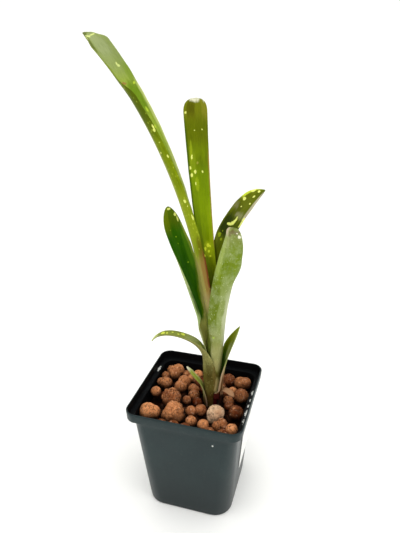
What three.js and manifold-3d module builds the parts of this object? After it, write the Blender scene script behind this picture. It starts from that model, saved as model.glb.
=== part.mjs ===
// Potted casablanca billbergia: a young tank bromeliad in a square nursery pot of clay pebbles.
// Millimetres, +Z up. The origin is the centre of the pot's underside, the front face looks to -Y
// and the face with the paper label looks to +X.
import * as THREE from "three";
import { mergeVertices } from "three/addons/utils/BufferGeometryUtils.js";
import Module from "manifold-3d";

const wasm = await Module();
wasm.setup();

// Pot
const POT_HEIGHT = 96;
const RIM_SIDE = 90;
const RIM_RADIUS = 8.8;
const RIM_WALL = 1.5;
const BAND_HEIGHT = 7.6;
const BODY_TOP_SIDE = 81.6;
const BODY_TOP_RADIUS = 9.4;
const FOOT_SIDE = 69;
const FOOT_RADIUS = 14.5;
const BODY_WALL = 1.2;
const FLOOR = 1.5;
const LEDGE = 1.0;
const CORNER_STEPS = 6;
const DRAIN_RADIUS = 3.2;
const DRAIN_OFFSET = 22;

// Paper label on the right face
const LABEL_WIDTH = 34;
const LABEL_HEIGHT = 40;
const LABEL_THICK = 0.5;
const LABEL_MIDDLE = [8, 50];

// Clay pebbles
const BED_FLOOR = 1.8;
const BED_LEVEL = 79;
const WALL_GAP = 0.35;
const HOLE_RADIUS = 7;
const HOLE_MOUTH = 9.4;
const HOLE_FLOOR = 27;
const PEBBLE_SPACING = 9.4;
const FILL_RADIUS = 4.6;
const SOCKET_GAP = 0.45;
const LEAF_GAP = 0.35;
const HOLE_TURNS = 24;

// Plant
const AXIS = [10, 7];
const LEAN = [0.035, 0.01];
const LEAN_LEVEL = 82;
const SHEATH_FOOT = 74;
const RING_BEND = 0.7;
const BLADE_THICK = 0.6;
const TIP_WIDTH = 0.6;
const FOOT_GAP = 0.3;
const ROOT_RADIUS = 0.7;
const ROOT_COUNT = 6;

const rad = (degrees) => (degrees * Math.PI) / 180;
const clamp01 = (x) => Math.min(Math.max(x, 0), 1);
const smooth = (x) => clamp01(x) ** 2 * (3 - 2 * clamp01(x));
const mix = (a, b, t) => a + (b - a) * t;

// A repeatable draw between 0 and 1.
function draws(seed) {
  let state = seed;
  return () => {
    state = (state * 16807) % 2147483647;
    return state / 2147483647;
  };
}

function solid(geometry) {
  const bare = geometry.clone();
  bare.deleteAttribute("normal");
  bare.deleteAttribute("uv");
  const merged = mergeVertices(bare, 1e-4);
  return new wasm.Manifold(
    new wasm.Mesh({
      numProp: 3,
      vertProperties: merged.attributes.position.array,
      triVerts: new Uint32Array(merged.index.array),
    }),
  );
}

function geometryOf(body) {
  const mesh = body.getMesh();
  const geometry = new THREE.BufferGeometry();
  geometry.setAttribute("position", new THREE.BufferAttribute(mesh.vertProperties, 3));
  geometry.setIndex(new THREE.BufferAttribute(mesh.triVerts, 1));
  const flat = geometry.toNonIndexed();
  flat.computeVertexNormals();
  return flat;
}

const group = new THREE.Group();

function add(name, geometry, color, roughness) {
  const material = new THREE.MeshStandardMaterial({ color, roughness, metalness: 0 });
  const mesh = new THREE.Mesh(geometry, material);
  mesh.name = name;
  group.add(mesh);
  return mesh;
}

// A closed body through a stack of equal rings, capped at both ends.
function stack(rings) {
  const count = rings[0].length;
  const points = rings.flat();
  const index = [];
  for (let i = 0; i + 1 < rings.length; i++) {
    for (let k = 0; k < count; k++) {
      const a = i * count + k;
      const b = i * count + ((k + 1) % count);
      index.push(a, b, b + count, a, b + count, a + count);
    }
  }
  const first = points.length;
  const middle = (ring) => {
    const sum = new THREE.Vector3();
    ring.forEach((p) => sum.add(p));
    return sum.divideScalar(count);
  };
  points.push(middle(rings[0]), middle(rings[rings.length - 1]));
  const top = (rings.length - 1) * count;
  for (let k = 0; k < count; k++) {
    const next = (k + 1) % count;
    index.push(first, next, k, first + 1, top + k, top + next);
  }
  const geometry = new THREE.BufferGeometry().setFromPoints(points);
  geometry.setIndex(index);
  return geometry;
}

// Counter-clockwise outline of a rounded square.
function roundedSquare(side, radius, z) {
  const ring = [];
  const h = side / 2 - radius;
  for (let corner = 0; corner < 4; corner++) {
    const sx = corner === 0 || corner === 3 ? 1 : -1;
    const sy = corner < 2 ? 1 : -1;
    for (let k = 0; k <= CORNER_STEPS; k++) {
      const a = (Math.PI / 2) * (corner + k / CORNER_STEPS);
      ring.push(new THREE.Vector3(sx * h + radius * Math.cos(a), sy * h + radius * Math.sin(a), z));
    }
  }
  return ring;
}

const BAND_FOOT = POT_HEIGHT - BAND_HEIGHT;
const bodySide = (z) => mix(FOOT_SIDE, BODY_TOP_SIDE, z / BAND_FOOT);
const bodyRadius = (z) => mix(FOOT_RADIUS, BODY_TOP_RADIUS, z / BAND_FOOT);
const innerSide = (z) => bodySide(z) - 2 * BODY_WALL;

function makePot() {
  const band = RIM_SIDE - 0.8;
  const inner = RIM_SIDE - 2 * RIM_WALL;
  const ledgeTop = BAND_FOOT + LEDGE;
  const rings = [
    roundedSquare(FOOT_SIDE - 3, FOOT_RADIUS - 1.5, 0),
    roundedSquare(FOOT_SIDE - 0.6, FOOT_RADIUS - 0.3, 0.7),
    roundedSquare(bodySide(2.4), bodyRadius(2.4), 2.4),
    roundedSquare(bodySide(BAND_FOOT), bodyRadius(BAND_FOOT), BAND_FOOT),
    roundedSquare(band, RIM_RADIUS - 0.4, BAND_FOOT),
    roundedSquare(RIM_SIDE, RIM_RADIUS, POT_HEIGHT - 1.2),
    roundedSquare(RIM_SIDE - 0.7, RIM_RADIUS - 0.35, POT_HEIGHT),
    roundedSquare(inner + 0.5, RIM_RADIUS - RIM_WALL + 0.25, POT_HEIGHT),
    roundedSquare(inner, RIM_RADIUS - RIM_WALL, POT_HEIGHT - 0.8),
    roundedSquare(band - 2.6, RIM_RADIUS - 1.7, ledgeTop),
    roundedSquare(innerSide(BAND_FOOT), bodyRadius(BAND_FOOT) - BODY_WALL, ledgeTop),
    roundedSquare(innerSide(FLOOR), bodyRadius(FLOOR) - BODY_WALL, FLOOR),
  ];
  let body = solid(stack(rings));
  for (const [sx, sy] of [[1, 1], [-1, 1], [-1, -1], [1, -1]]) {
    const drill = new THREE.CylinderGeometry(DRAIN_RADIUS, DRAIN_RADIUS, 12, 16);
    drill.rotateX(Math.PI / 2);
    drill.translate(sx * DRAIN_OFFSET, sy * DRAIN_OFFSET, 0);
    body = body.subtract(solid(drill));
  }
  return body;
}

function makeLabel() {
  const r = 1.5;
  const shape = new THREE.Shape();
  const w = LABEL_WIDTH / 2;
  const h = LABEL_HEIGHT / 2;
  shape.moveTo(-w + r, -h);
  shape.lineTo(w - r, -h);
  shape.absarc(w - r, -h + r, r, -Math.PI / 2, 0, false);
  shape.absarc(w - r, h - r, r, 0, Math.PI / 2, false);
  shape.absarc(-w + r, h - r, r, Math.PI / 2, Math.PI, false);
  shape.absarc(-w + r, -h + r, r, Math.PI, Math.PI * 1.5, false);
  const options = { depth: LABEL_THICK, bevelEnabled: false, curveSegments: 4 };
  return new THREE.ExtrudeGeometry(shape, options).rotateX(Math.PI / 2).rotateZ(Math.PI / 2);
}

// Stem axis at a height.
function axisAt(z) {
  const rise = z - LEAN_LEVEL;
  return new THREE.Vector3(AXIS[0] + LEAN[0] * rise, AXIS[1] + LEAN[1] * rise, z);
}

// Each leaf clasps the stem as part of a ring, then its blade leans away.
//   keel: azimuth of the midrib on the ring, 0 = +X and 90 = +Y
//   ring, wrap: ring radius and half angle of the clasp, at the foot and at the top of the sheath
//   top: height where the blade starts; length: of the blade
//   lean: angle from upright at the start and end of the blade, reached with the power bend
//   heading: azimuth that the blade leans to, at its start and end
//   turn: how far the outer face turns about the upright, reached with the power turnBend
//   width, curl: flat width and half angle of the cross arc, at the middle and end of the blade
//   tip: length of the tip and the two powers of its outline
//   clasp: degrees by which the sheath wraps further each way, held to one place and gone at the next
//   ease: share of its curl that the half with the last margin has between two places
//   torn: height that the foot has lost at its first and last margin
//   bumps: where a margin stands out: place along the leaf, reach, side (-1 first, 1 last), millimetres
const LEAVES = {
  leaf_centre: {
    keel: 104, ring: [1.9, 3.25], wrap: [120, 90], top: 152, length: 162.4,
    lean: [14.4, 2.3], bend: 0.68, heading: [163.3, 159.6], turn: -11.8, turnBend: 0.72,
    width: [13.7, 17.4], curl: [31.6, 30.3], tip: [9, 2.2, 3.2], steps: 24, across: 8,
    color: 0x7f9a12,
  },
  leaf_long_left: {
    keel: 203, ring: [2.8, 5.6], wrap: [86, 86], top: 137.7, length: 247,
    lean: [5.2, 51.5], bend: 1.24, heading: [169.4, 158.3], turn: -49, turnBend: 2.6,
    width: [21.5, 23.1], curl: [79, 67.2], tip: [9, 2.2, 2.6], steps: 30, across: 6,
    ease: [[1.16, 110, 262], [0.6, 246, 303]], bumps: [[307, 12, 1, -7], [308, 10, -1, -3.6]],
    color: 0x84a03a,
  },
  leaf_right_back: {
    keel: 38, ring: [2.8, 4.8], wrap: [72, 72], top: 158.7, length: 105.8,
    lean: [-6.5, 59.3], bend: 1.95, heading: [23, 15.7], turn: 38.6, turnBend: 1.5,
    width: [18, 13.2], curl: [38.7, 41], tip: [20, 1.4, 1.4], steps: 24, across: 6,
    bumps: [[142, 30, 1, 0.7], [163, 17, 1, -0.9], [186, 13, 1, 2.2]],
    color: 0x5c6b1c,
  },
  leaf_left: {
    keel: 165, ring: [3.7, 6.47], wrap: [80, 78], top: 124.7, length: 118.5,
    lean: [22.1, 15], bend: 1.03, heading: [166.4, 165.2], turn: -54.1, turnBend: 3.5,
    width: [23.8, 11.6], curl: [80, 16.9], tip: [20, 2, 2], steps: 24, across: 6,
    ease: [[0.45, 46, 86]], bumps: [[152, 14, -1, -0.8]],
    color: 0x3c6a0e,
  },
  leaf_front: {
    keel: -37, ring: [3.7, 6.6], wrap: [65, 65], top: 138, length: 94,
    lean: [8.8, -1.3], bend: 3, heading: [-13.6, 6.2], turn: -65.6, turnBend: 2.74,
    width: [24.9, 7.8], curl: [75, 20.6], tip: [4, 2, 4], steps: 24, across: 8,
    ease: [[1.45, 78, 122], [0.65, 113, 136]], bumps: [[157, 6, -1, 1.4], [116, 16, 1, -1.8]],
    color: 0x93a86a,
  },
  leaf_low_left: {
    keel: 199, ring: [4.6, 8.4], wrap: [50, 50], top: 118.6, length: 60.9,
    lean: [20.6, 147], bend: 1.06, heading: [202, 156.2], turn: -7.7, turnBend: 0.6,
    width: [9.1, 6.1], curl: [54.7, 35], tip: [16, 1.5, 1.6], steps: 22, across: 10,
    clasp: [45, 24, 56], bumps: [[46, 26, 1, 4]],
    color: 0x8b9254,
  },
  leaf_low_right: {
    keel: -1, ring: [7.1, 8.2], wrap: [50, 48], top: 91, length: 62.7,
    lean: [0.6, 24], bend: 1.12, heading: [10, 5.8], turn: 40, turnBend: 0.6,
    width: [14.5, 14.9], curl: [46, 35], tip: [22, 1.2, 1.2], steps: 20, across: 6,
    torn: [13, 6], clasp: [14, 15, 21], bumps: [[60, 24, -1, -2]],
    color: 0x4c6b20,
  },
  leaf_stub_left: {
    keel: 203, ring: [5.5, 7], wrap: [50, 50], top: 82.4, length: 35.9,
    lean: [48.9, 28.9], bend: 1, heading: [204, 204], turn: -13.5, turnBend: 0.8,
    width: [7.8, 5.8], curl: [28, 21.8], tip: [8, 1.6, 1.6], steps: 16, across: 4,
    color: 0x8aa04a,
  },
  dry_scale: {
    keel: -16, ring: [6.6, 9.2], wrap: [7, 14], top: 94, length: 12,
    lean: [0, 126], bend: 0.3, heading: [-20, -26], turn: -11, turnBend: 1.3,
    width: [5.4, 4.2], curl: [24, 8], tip: [3, 1.5, 2], steps: 14, across: 4,
    color: 0xb39a72,
  },
};

// Value at s, 0 to 1, through a start, a middle and an end value.
const through = (v, s) => v[0] * (1 - s) * (1 - 2 * s) + v[1] * 4 * s * (1 - s) + v[2] * s * (2 * s - 1);

// Points up the keel, each with facing, flat width and curl, and their distances along it.
function keelLine(leaf) {
  const line = [];
  const e = new THREE.Vector3(Math.cos(rad(leaf.keel)), Math.sin(rad(leaf.keel)), 0);
  const low = Math.round((leaf.top - SHEATH_FOOT) / 2);
  for (let k = 0; k < low; k++) {
    const t = k / low;
    const z = mix(SHEATH_FOOT, leaf.top, t);
    const r = mix(leaf.ring[0], leaf.ring[1], t ** RING_BEND);
    const wrap = mix(leaf.wrap[0], leaf.wrap[1], t);
    line.push([axisAt(z).addScaledVector(e, r), leaf.keel, 2 * rad(wrap) * r, wrap]);
  }
  const p = axisAt(leaf.top).addScaledVector(e, leaf.ring[1]);
  const widths = [2 * rad(leaf.wrap[1]) * leaf.ring[1], ...leaf.width];
  const curls = [leaf.wrap[1], ...leaf.curl];
  const high = Math.max(10, Math.round(leaf.length));
  const step = leaf.length / high;
  for (let k = 0; k <= high; k++) {
    const s = k / high;
    const facing = leaf.keel + leaf.turn * s ** leaf.turnBend;
    line.push([p.clone(), facing, through(widths, s), through(curls, s)]);
    const m = (k + 0.5) / high;
    const start = leaf.lean[0] * smooth((m * leaf.length) / 25);
    const tilt = rad(start + (leaf.lean[1] - leaf.lean[0]) * m ** leaf.bend);
    const way = rad(mix(leaf.heading[0], leaf.heading[1], m));
    const out = Math.sin(tilt) * step;
    p.add(new THREE.Vector3(out * Math.cos(way), out * Math.sin(way), Math.cos(tilt) * step));
  }
  const run = [0];
  for (let i = 1; i < line.length; i++) run.push(run[i - 1] + line[i][0].distanceTo(line[i - 1][0]));
  if (leaf.clasp) {
    const [extra, full, gone] = leaf.clasp;
    line.forEach((row, i) => {
      const more = extra * (1 - smooth((run[i] - full) / (gone - full)));
      row[2] *= 1 + more / row[3];
      row[3] += more;
    });
  }
  return [line, run];
}

// Share of its curl that the half with the last margin has at s.
function lastShare(leaf, s) {
  let total = 1;
  for (const [share, start, end] of leaf.ease ?? []) {
    total *= 1 - (1 - share) * smooth((s - start) / 20) * (1 - smooth((s - end + 12) / 12));
  }
  return total;
}

// How far a margin stands out at s.
function bumpAt(leaf, s, side) {
  const here = (leaf.bumps ?? []).filter((bump) => bump[2] === side);
  const one = ([place, reach, , most]) => most * smooth(1 - Math.abs(s - place) / reach);
  return here.reduce((sum, bump) => sum + one(bump), 0);
}

// Cross arcs along the leaf, closer together near the tip.
function crossArcs(leaf) {
  const [line, run] = keelLine(leaf);
  const total = run[run.length - 1];
  const knee = 1 - leaf.tip[0] / total;
  const end = Math.max(6, Math.floor(leaf.steps / 4));
  const places = [];
  for (let k = 0; k < leaf.steps - end; k++) places.push((knee * k) / (leaf.steps - end));
  for (let k = 0; k < end; k++) places.push(1 - (1 - knee) * (1 - k / (end - 1)) ** 1.6);
  const at = (s) => {
    let i = 1;
    while (i < run.length - 1 && run[i] < s) i++;
    const t = clamp01((s - run[i - 1]) / (run[i] - run[i - 1]));
    const [a, b] = [line[i - 1], line[i]];
    return [a[0].clone().lerp(b[0], t), mix(a[1], b[1], t), mix(a[2], b[2], t), mix(a[3], b[3], t)];
  };
  return places.map((place) => {
    const s = place * total;
    const [point, facing, width, curl] = at(s);
    const along = at(Math.min(s + 1.5, total))[0].sub(at(Math.max(s - 1.5, 0))[0]).normalize();
    const left = total - s;
    const [tipLength, p, q] = leaf.tip;
    const narrow = left >= tipLength ? 1 : Math.max(1 - (1 - left / tipLength) ** p, 0) ** (1 / q);
    const e = new THREE.Vector3(Math.cos(rad(facing)), Math.sin(rad(facing)), 0);
    const side = new THREE.Vector3(0, 0, 1).cross(e);
    const inward = along.clone().cross(side).normalize();
    const lateral = inward.clone().cross(along);
    const bow = width / (2 * rad(Math.max(curl, 2)));
    const half = Math.max(width * narrow, TIP_WIDTH) / 2 / bow;
    const halves = [-1, 1].map((on) => half + (bumpAt(leaf, s, on) * narrow) / bow);
    return { point, inward, lateral, bow, halves, s };
  });
}

// The leaf as a closed blade of even thickness.
function makeLeaf(leaf, thick) {
  const arcs = crossArcs(leaf);
  const cells = leaf.across;
  const torn = leaf.torn ?? [0, 0];
  const faces = [1, -1].map((sign) =>
    arcs.map((arc) => {
      const row = [];
      for (let j = 0; j <= cells; j++) {
        const u = j / cells;
        const share = u > 0.5 ? lastShare(leaf, arc.s) : 1;
        const th = (2 * u - 1) * arc.halves[u > 0.5 ? 1 : 0] * share;
        const bow = arc.bow / share;
        const point = arc.point.clone();
        point.addScaledVector(arc.inward, bow * (1 - Math.cos(th)));
        point.addScaledVector(arc.lateral, bow * Math.sin(th));
        point.addScaledVector(arc.inward, (sign * Math.cos(th) * thick) / 2);
        point.addScaledVector(arc.lateral, (-sign * Math.sin(th) * thick) / 2);
        point.z += mix(torn[0], torn[1], u) * (1 - smooth(arc.s / 24));
        row.push(point);
      }
      return row;
    }),
  );
  const wide = cells + 1;
  const deep = arcs.length * wide;
  const points = faces.flat(2);
  const index = [];
  const quad = (a, b, c, d) => index.push(a, b, c, a, c, d);
  for (let i = 0; i + 1 < arcs.length; i++) {
    for (let j = 0; j < cells; j++) {
      const a = i * wide + j;
      quad(a, a + 1, a + 1 + wide, a + wide);
      index.push(deep + a, deep + a + 1 + wide, deep + a + 1);
      index.push(deep + a, deep + a + wide, deep + a + 1 + wide);
    }
    const a = i * wide;
    const b = a + cells;
    quad(a, a + wide, deep + a + wide, deep + a);
    quad(b, deep + b, deep + b + wide, b + wide);
  }
  for (let j = 0; j < cells; j++) {
    const last = (arcs.length - 1) * wide + j;
    quad(j, deep + j, deep + j + 1, j + 1);
    quad(last, last + 1, deep + last + 1, deep + last);
  }
  const geometry = new THREE.BufferGeometry().setFromPoints(points);
  geometry.setIndex(index);
  let body = solid(geometry);
  if (body.volume() < 0) {
    for (let i = 0; i < index.length; i += 3) [index[i + 1], index[i + 2]] = [index[i + 2], index[i + 1]];
    geometry.setIndex(index);
    body = solid(geometry);
  }
  return body;
}

// Pebbles that show on top: x, y, height of the centre, radius.
const PEBBLES = {
  back_left_double: [-29, 30, 84.4, 7.3],
  left_behind: [-33, 12, 85, 5.8],
  left_small: [-34.6, -2.8, 86.5, 4.3],
  egg: [-18, 15, 84, 6.8],
  long_by_stem: [-5, 7.6, 83.2, 5.6],
  crater: [-20, -5.6, 84.8, 7.8],
  lumpy_pink: [-13.6, -21.5, 85, 8.4],
  orange: [-32, -24, 84, 6.7],
  front_a: [-1.6, -13.4, 82.3, 4.5],
  front_b: [5.7, -10.4, 82.5, 4.8],
  front_c: [1.8, -24, 82.2, 4.3],
  front_d: [12, -26, 82.4, 4.6],
  lumpy_front: [24.6, -23.6, 83.1, 5.4],
  corner: [34, -25, 82.5, 4.7],
  right_front: [33, -6.5, 83.4, 5.9],
  right_low: [25.6, 1, 82, 4],
  right_round: [32.6, 14, 83.6, 6.2],
  back_right: [30.4, 31, 83.6, 6.2],
  back_middle: [18, 32, 83.3, 5.8],
  back_small: [-9.8, 34, 82.3, 4.4],
  back_low: [-13, 27.6, 82.2, 4.3],
  right_small: [24, 21.5, 81.5, 3.4],
  left_rim: [-35, 21.6, 85, 3.6],
};
const PALE_PEBBLE = [18.2, -12.6, 84.1, 6.8];
const PALE_SEED = 3;

function pebble(x, y, z, radius, draw, shape = THREE.IcosahedronGeometry) {
  const geometry = new shape(radius, 1);
  geometry.deleteAttribute("normal");
  geometry.deleteAttribute("uv");
  const lump = mergeVertices(geometry, 1e-3);
  const place = lump.attributes.position;
  for (let i = 0; i < place.count; i++) {
    const k = 0.93 + 0.12 * draw();
    place.setXYZ(i, place.getX(i) * k, place.getY(i) * k, place.getZ(i) * k);
  }
  lump.rotateZ(6.28 * draw());
  lump.translate(x, y, z);
  return solid(lump);
}

// Places between the named pebbles, on a staggered grid.
function fillPlaces(taken, draw) {
  const places = [];
  const rows = Math.ceil(BODY_TOP_SIDE / PEBBLE_SPACING);
  for (let j = -rows; j <= rows; j++) {
    for (let i = -rows; i <= rows; i++) {
      const radius = FILL_RADIUS * (0.82 + 0.3 * draw());
      const x = (i + (j % 2 ? 0.5 : 0)) * PEBBLE_SPACING + 1.6 * (draw() - 0.5);
      const y = j * PEBBLE_SPACING * 0.87 + 1.6 * (draw() - 0.5);
      const z = BED_LEVEL + 0.55 * radius;
      const limit = innerSide(z) / 2 - radius - WALL_GAP;
      if (Math.max(Math.abs(x), Math.abs(y)) > limit) continue;
      if (Math.hypot(x - AXIS[0], y - AXIS[1]) < HOLE_MOUTH + radius * 0.55) continue;
      const clear = taken.every((p) => Math.hypot(x - p[0], y - p[1]) > 0.8 * (p[3] + radius));
      if (!clear) continue;
      const place = [x, y, z, radius];
      taken.push(place);
      places.push(place);
    }
  }
  return places;
}

function makeBed() {
  const cut = BODY_WALL + WALL_GAP;
  const inside = (z) => roundedSquare(bodySide(z) - 2 * cut, bodyRadius(z) - cut, z);
  const core = [inside(BED_FLOOR), inside(BED_LEVEL - 2), inside(BED_LEVEL)];
  const draw = draws(41);
  const named = Object.values(PEBBLES);
  const fill = fillPlaces([...named, PALE_PEBBLE], draw);
  let body = solid(stack(core));
  for (const place of named) body = body.add(pebble(...place, draw));
  for (const place of fill) body = body.add(pebble(...place, draw, THREE.OctahedronGeometry));
  const cage = [inside(BED_FLOOR - 1), inside(BAND_FOOT - 0.4), inside(POT_HEIGHT)];
  body = body.intersect(solid(stack(cage)));
  const profile = [
    [0, HOLE_FLOOR], [HOLE_RADIUS, HOLE_FLOOR], [HOLE_RADIUS, SHEATH_FOOT - 1],
    [HOLE_MOUTH, BED_LEVEL + 3], [HOLE_MOUTH, POT_HEIGHT], [0, POT_HEIGHT],
  ].map(([r, z]) => new THREE.Vector2(r, z));
  const hole = new THREE.LatheGeometry(profile, HOLE_TURNS);
  hole.rotateX(Math.PI / 2);
  hole.translate(AXIS[0], AXIS[1], 0);
  return body.subtract(solid(hole));
}

// Stem foot with a growing point on top and wiry roots below.
function makeStem() {
  const top = SHEATH_FOOT - FOOT_GAP;
  const profile = [
    [0, 57], [2.4, 58.5], [4.4, 63], [5.7, 69], [6.2, 72.2], [5.8, top],
    [1.25, top], [0.9, top + 7], [0, top + 8.5],
  ].map(([r, z]) => new THREE.Vector2(r, z));
  const foot = new THREE.LatheGeometry(profile, 18);
  foot.rotateX(Math.PI / 2);
  let body = solid(foot);
  const draw = draws(7);
  for (let k = 0; k < ROOT_COUNT; k++) {
    const a = (2 * Math.PI * (k + 0.3 * draw())) / ROOT_COUNT;
    const reach = 3.6 + 1.6 * draw();
    const depth = 31 + 9 * draw();
    const bow = 0.6 + 0.8 * draw();
    const curve = new THREE.CatmullRomCurve3([
      new THREE.Vector3(1.8 * Math.cos(a), 1.8 * Math.sin(a), 62),
      new THREE.Vector3(reach * Math.cos(a + 0.2 * bow), reach * Math.sin(a + 0.2 * bow), 54),
      new THREE.Vector3(reach * Math.cos(a - 0.25 * bow), reach * Math.sin(a - 0.25 * bow), 46),
      new THREE.Vector3(0.9 * reach * Math.cos(a), 0.9 * reach * Math.sin(a), depth),
    ]);
    const section = new THREE.Shape();
    section.absarc(0, 0, ROOT_RADIUS, 0, Math.PI * 2, false);
    const root = new THREE.ExtrudeGeometry(section, { extrudePath: curve, steps: 7, curveSegments: 3 });
    body = body.add(solid(root));
  }
  const middle = axisAt(SHEATH_FOOT);
  return body.translate([middle.x, middle.y, 0]);
}

add("pot", geometryOf(makePot()), 0x2c322f, 0.45);

const label = add("pot_label", makeLabel(), 0xf1f1ee, 0.6);
const slope = Math.atan((BODY_TOP_SIDE - FOOT_SIDE) / 2 / BAND_FOOT);
const labelHolder = new THREE.Group();
labelHolder.rotation.y = slope;
labelHolder.position.set(bodySide(LABEL_MIDDLE[1]) / 2 + FOOT_GAP, LABEL_MIDDLE[0], LABEL_MIDDLE[1]);
labelHolder.add(label);
group.add(labelHolder);

// The bed leaves room for the pale pebble and for the two low leaves that lean over it.
const clearOfPebbles = ["leaf_stub_left", "dry_scale"].map((name) =>
  makeLeaf(LEAVES[name], BLADE_THICK + 2 * LEAF_GAP),
);
const socket = pebble(...PALE_PEBBLE.slice(0, 3), PALE_PEBBLE[3] + SOCKET_GAP, draws(PALE_SEED));
let bed = makeBed().subtract(socket);
for (const body of clearOfPebbles) bed = bed.subtract(body);
const largest = bed.decompose().sort((a, b) => b.volume() - a.volume())[0];
add("clay_pebble_bed", geometryOf(largest), 0x9c5230, 0.9);
add("pale_clay_pebble", geometryOf(pebble(...PALE_PEBBLE, draws(PALE_SEED))), 0xcfae8c, 0.9);
add("stem_with_roots", geometryOf(makeStem()), 0x7a4a3a, 0.8);
for (const [name, leaf] of Object.entries(LEAVES)) {
  add(name, geometryOf(makeLeaf(leaf, BLADE_THICK)), leaf.color, 0.4);
}

export default group;
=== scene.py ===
import math

import bmesh
import bpy
import numpy as np
from mathutils import Euler, Matrix, Vector, noise


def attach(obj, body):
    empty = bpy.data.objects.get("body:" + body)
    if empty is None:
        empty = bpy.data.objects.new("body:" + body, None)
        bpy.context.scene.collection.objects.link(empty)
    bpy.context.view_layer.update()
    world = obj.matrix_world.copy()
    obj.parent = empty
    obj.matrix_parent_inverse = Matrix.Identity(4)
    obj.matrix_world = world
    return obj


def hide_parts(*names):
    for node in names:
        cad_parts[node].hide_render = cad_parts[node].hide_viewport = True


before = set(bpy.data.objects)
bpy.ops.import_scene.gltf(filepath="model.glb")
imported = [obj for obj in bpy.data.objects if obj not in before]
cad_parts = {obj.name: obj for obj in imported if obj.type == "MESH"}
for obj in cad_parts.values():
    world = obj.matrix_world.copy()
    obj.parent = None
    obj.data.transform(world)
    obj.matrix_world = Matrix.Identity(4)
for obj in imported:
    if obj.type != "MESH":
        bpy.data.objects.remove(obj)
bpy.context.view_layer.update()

MM = 0.001

# Pot, in millimetres
POT_HEIGHT = 96.0
RIM_SIDE = 90.0
RIM_RADIUS = 8.8
RIM_WALL = 1.5
BAND_FOOT = 88.4
BODY_TOP_SIDE = 81.6
BODY_TOP_RADIUS = 9.4
FOOT_SIDE = 69.0
FOOT_RADIUS = 14.5
FOOT_ROUND = 1.5
BODY_WALL = 1.2
FLOOR = 1.5
LEDGE_TOP = 89.4
DRAIN_RADIUS = 3.2
DRAIN_OFFSET = 22.0
DRILL_REACH = 6.0
CORNER_STEPS = 14
SIDE_STEPS = 14
QUARTERS = ((1, 1), (-1, 1), (-1, -1), (1, -1))
SHARP_FROM = math.radians(40)

LABEL_WIDTH = 34.0
LABEL_HEIGHT = 40.0
LABEL_THICK = 0.35
LABEL_CORNER = 1.5
LABEL_MIDDLE = (8.0, 50.0)
LABEL_STEPS = (24, 28)

# Clay pebbles, in millimetres
BED_LEVEL = 79.0
WALL_GAP = 0.35
HOLE_RADIUS = 7.0
HOLE_MOUTH = 9.4
PEBBLE_SPACING = 9.4
FILL_RADIUS = 4.6
UNDER_SPACING = 9.0
UNDER_DEPTH = 3.4
LEAF_GAP = 0.95
# Level under which the pebbles are painted in shade, and the depth over which it deepens
SHADE_TOP_LEVEL = 83.4
SHADE_FADE = 4.4
LOBE_JOIN = 14.0
FILL_SEED = 41
UNDER_SEED = 97
PALE_SEED = 29
VIEW_TURN = math.radians(16.5)

# Plant, in millimetres
AXIS = (10.0, 7.0)
LEAN = (0.035, 0.01)
LEAN_LEVEL = 82.0
SHEATH_FOOT = 74.0
RING_BEND = 0.7
BLADE_THICK = 0.6
TIP_WIDTH = 0.6
STEM_SIDES = 40
TUBE_SIDES = 10
ROOTS = 14
ROOT_STEPS = 24
ROOT_SEED = 7

# Surfaces
LEAF_GLOSS = 0.06
EDGE_SOFT = 0.08
BAND_SOFT = 6.0
STRAY_ALONG = 14.0
FIBRE_SHADE = (0.56, 0.6, 0.5)


def clamp01(x):
    return min(max(x, 0), 1)


def smooth(x):
    return clamp01(x) ** 2 * (3 - 2 * clamp01(x))


def mix(a, b, t):
    return a + (b - a) * t


def turns(count):
    """Angles of even steps round a circle."""
    return [2 * math.pi * k / count for k in range(count)]


def draws(seed):
    """A repeatable draw between 0 and 1."""
    state = seed

    def draw():
        nonlocal state
        state = (state * 16807) % 2147483647
        return state / 2147483647

    return draw


def new_piece(name, verts, faces, materials=(), slots=None):
    """A mesh piece from points in millimetres."""
    mesh = bpy.data.meshes.new(name)
    mesh.from_pydata([tuple(float(c) * MM for c in v) for v in verts], [], faces)
    mesh.validate()
    for material in materials:
        mesh.materials.append(material)
    if slots is not None:
        mesh.polygons.foreach_set("material_index", slots)
    mesh.polygons.foreach_set("use_smooth", [True] * len(mesh.polygons))
    mesh.update()
    piece = bpy.data.objects.new(name, mesh)
    bpy.context.scene.collection.objects.link(piece)
    return piece


def point_values(piece, name, values, kind="FLOAT"):
    """Stores one value, or one vector, for each point."""
    data = piece.data.attributes.new(name, kind, "POINT").data
    key = "value" if kind == "FLOAT" else "vector"
    data.foreach_set(key, np.asarray(values, dtype=float).ravel())


def turn_out(piece):
    """Turns a closed piece's faces outwards."""
    work = bmesh.new()
    work.from_mesh(piece.data)
    bmesh.ops.recalc_face_normals(work, faces=work.faces)
    work.to_mesh(piece.data)
    work.free()


def walls(rings, count):
    """Faces between rings of count points each."""
    faces = []
    for i in range(rings - 1):
        for k in range(count):
            a = i * count + k
            b = i * count + (k + 1) % count
            faces.append((a, b, b + count, a + count))
    return faces


def strips(rings, count, apart):
    """Flat strips that close both end rings. apart is 0 if a ring's two sides share their end points."""
    faces = []
    for k in range(count // 2 - apart):
        a, b = count - k - apart, count - k - apart - 1
        cap = list(dict.fromkeys((k, a % count, b, k + 1)))
        faces += [cap, [(rings - 1) * count + v for v in reversed(cap)]]
    return faces


def stacked(rings):
    """Points and faces of a closed body through rings, with a flat cap at each end."""
    count = len(rings[0])
    foot = tuple(reversed(range(count)))
    top = tuple(range((len(rings) - 1) * count, len(rings) * count))
    return [p for ring in rings for p in ring], [*walls(len(rings), count), foot, top]


def add_body(body, more):
    """Adds the points and faces of one body to those of another."""
    first = len(body[0])
    body[0].extend(more[0])
    body[1].extend(tuple(first + i for i in face) for face in more[1])


# Materials

def sum_node(operation):
    """What an operator does between a value and a value or number."""
    return lambda value, other: value.look.math(operation, value, other)


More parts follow.
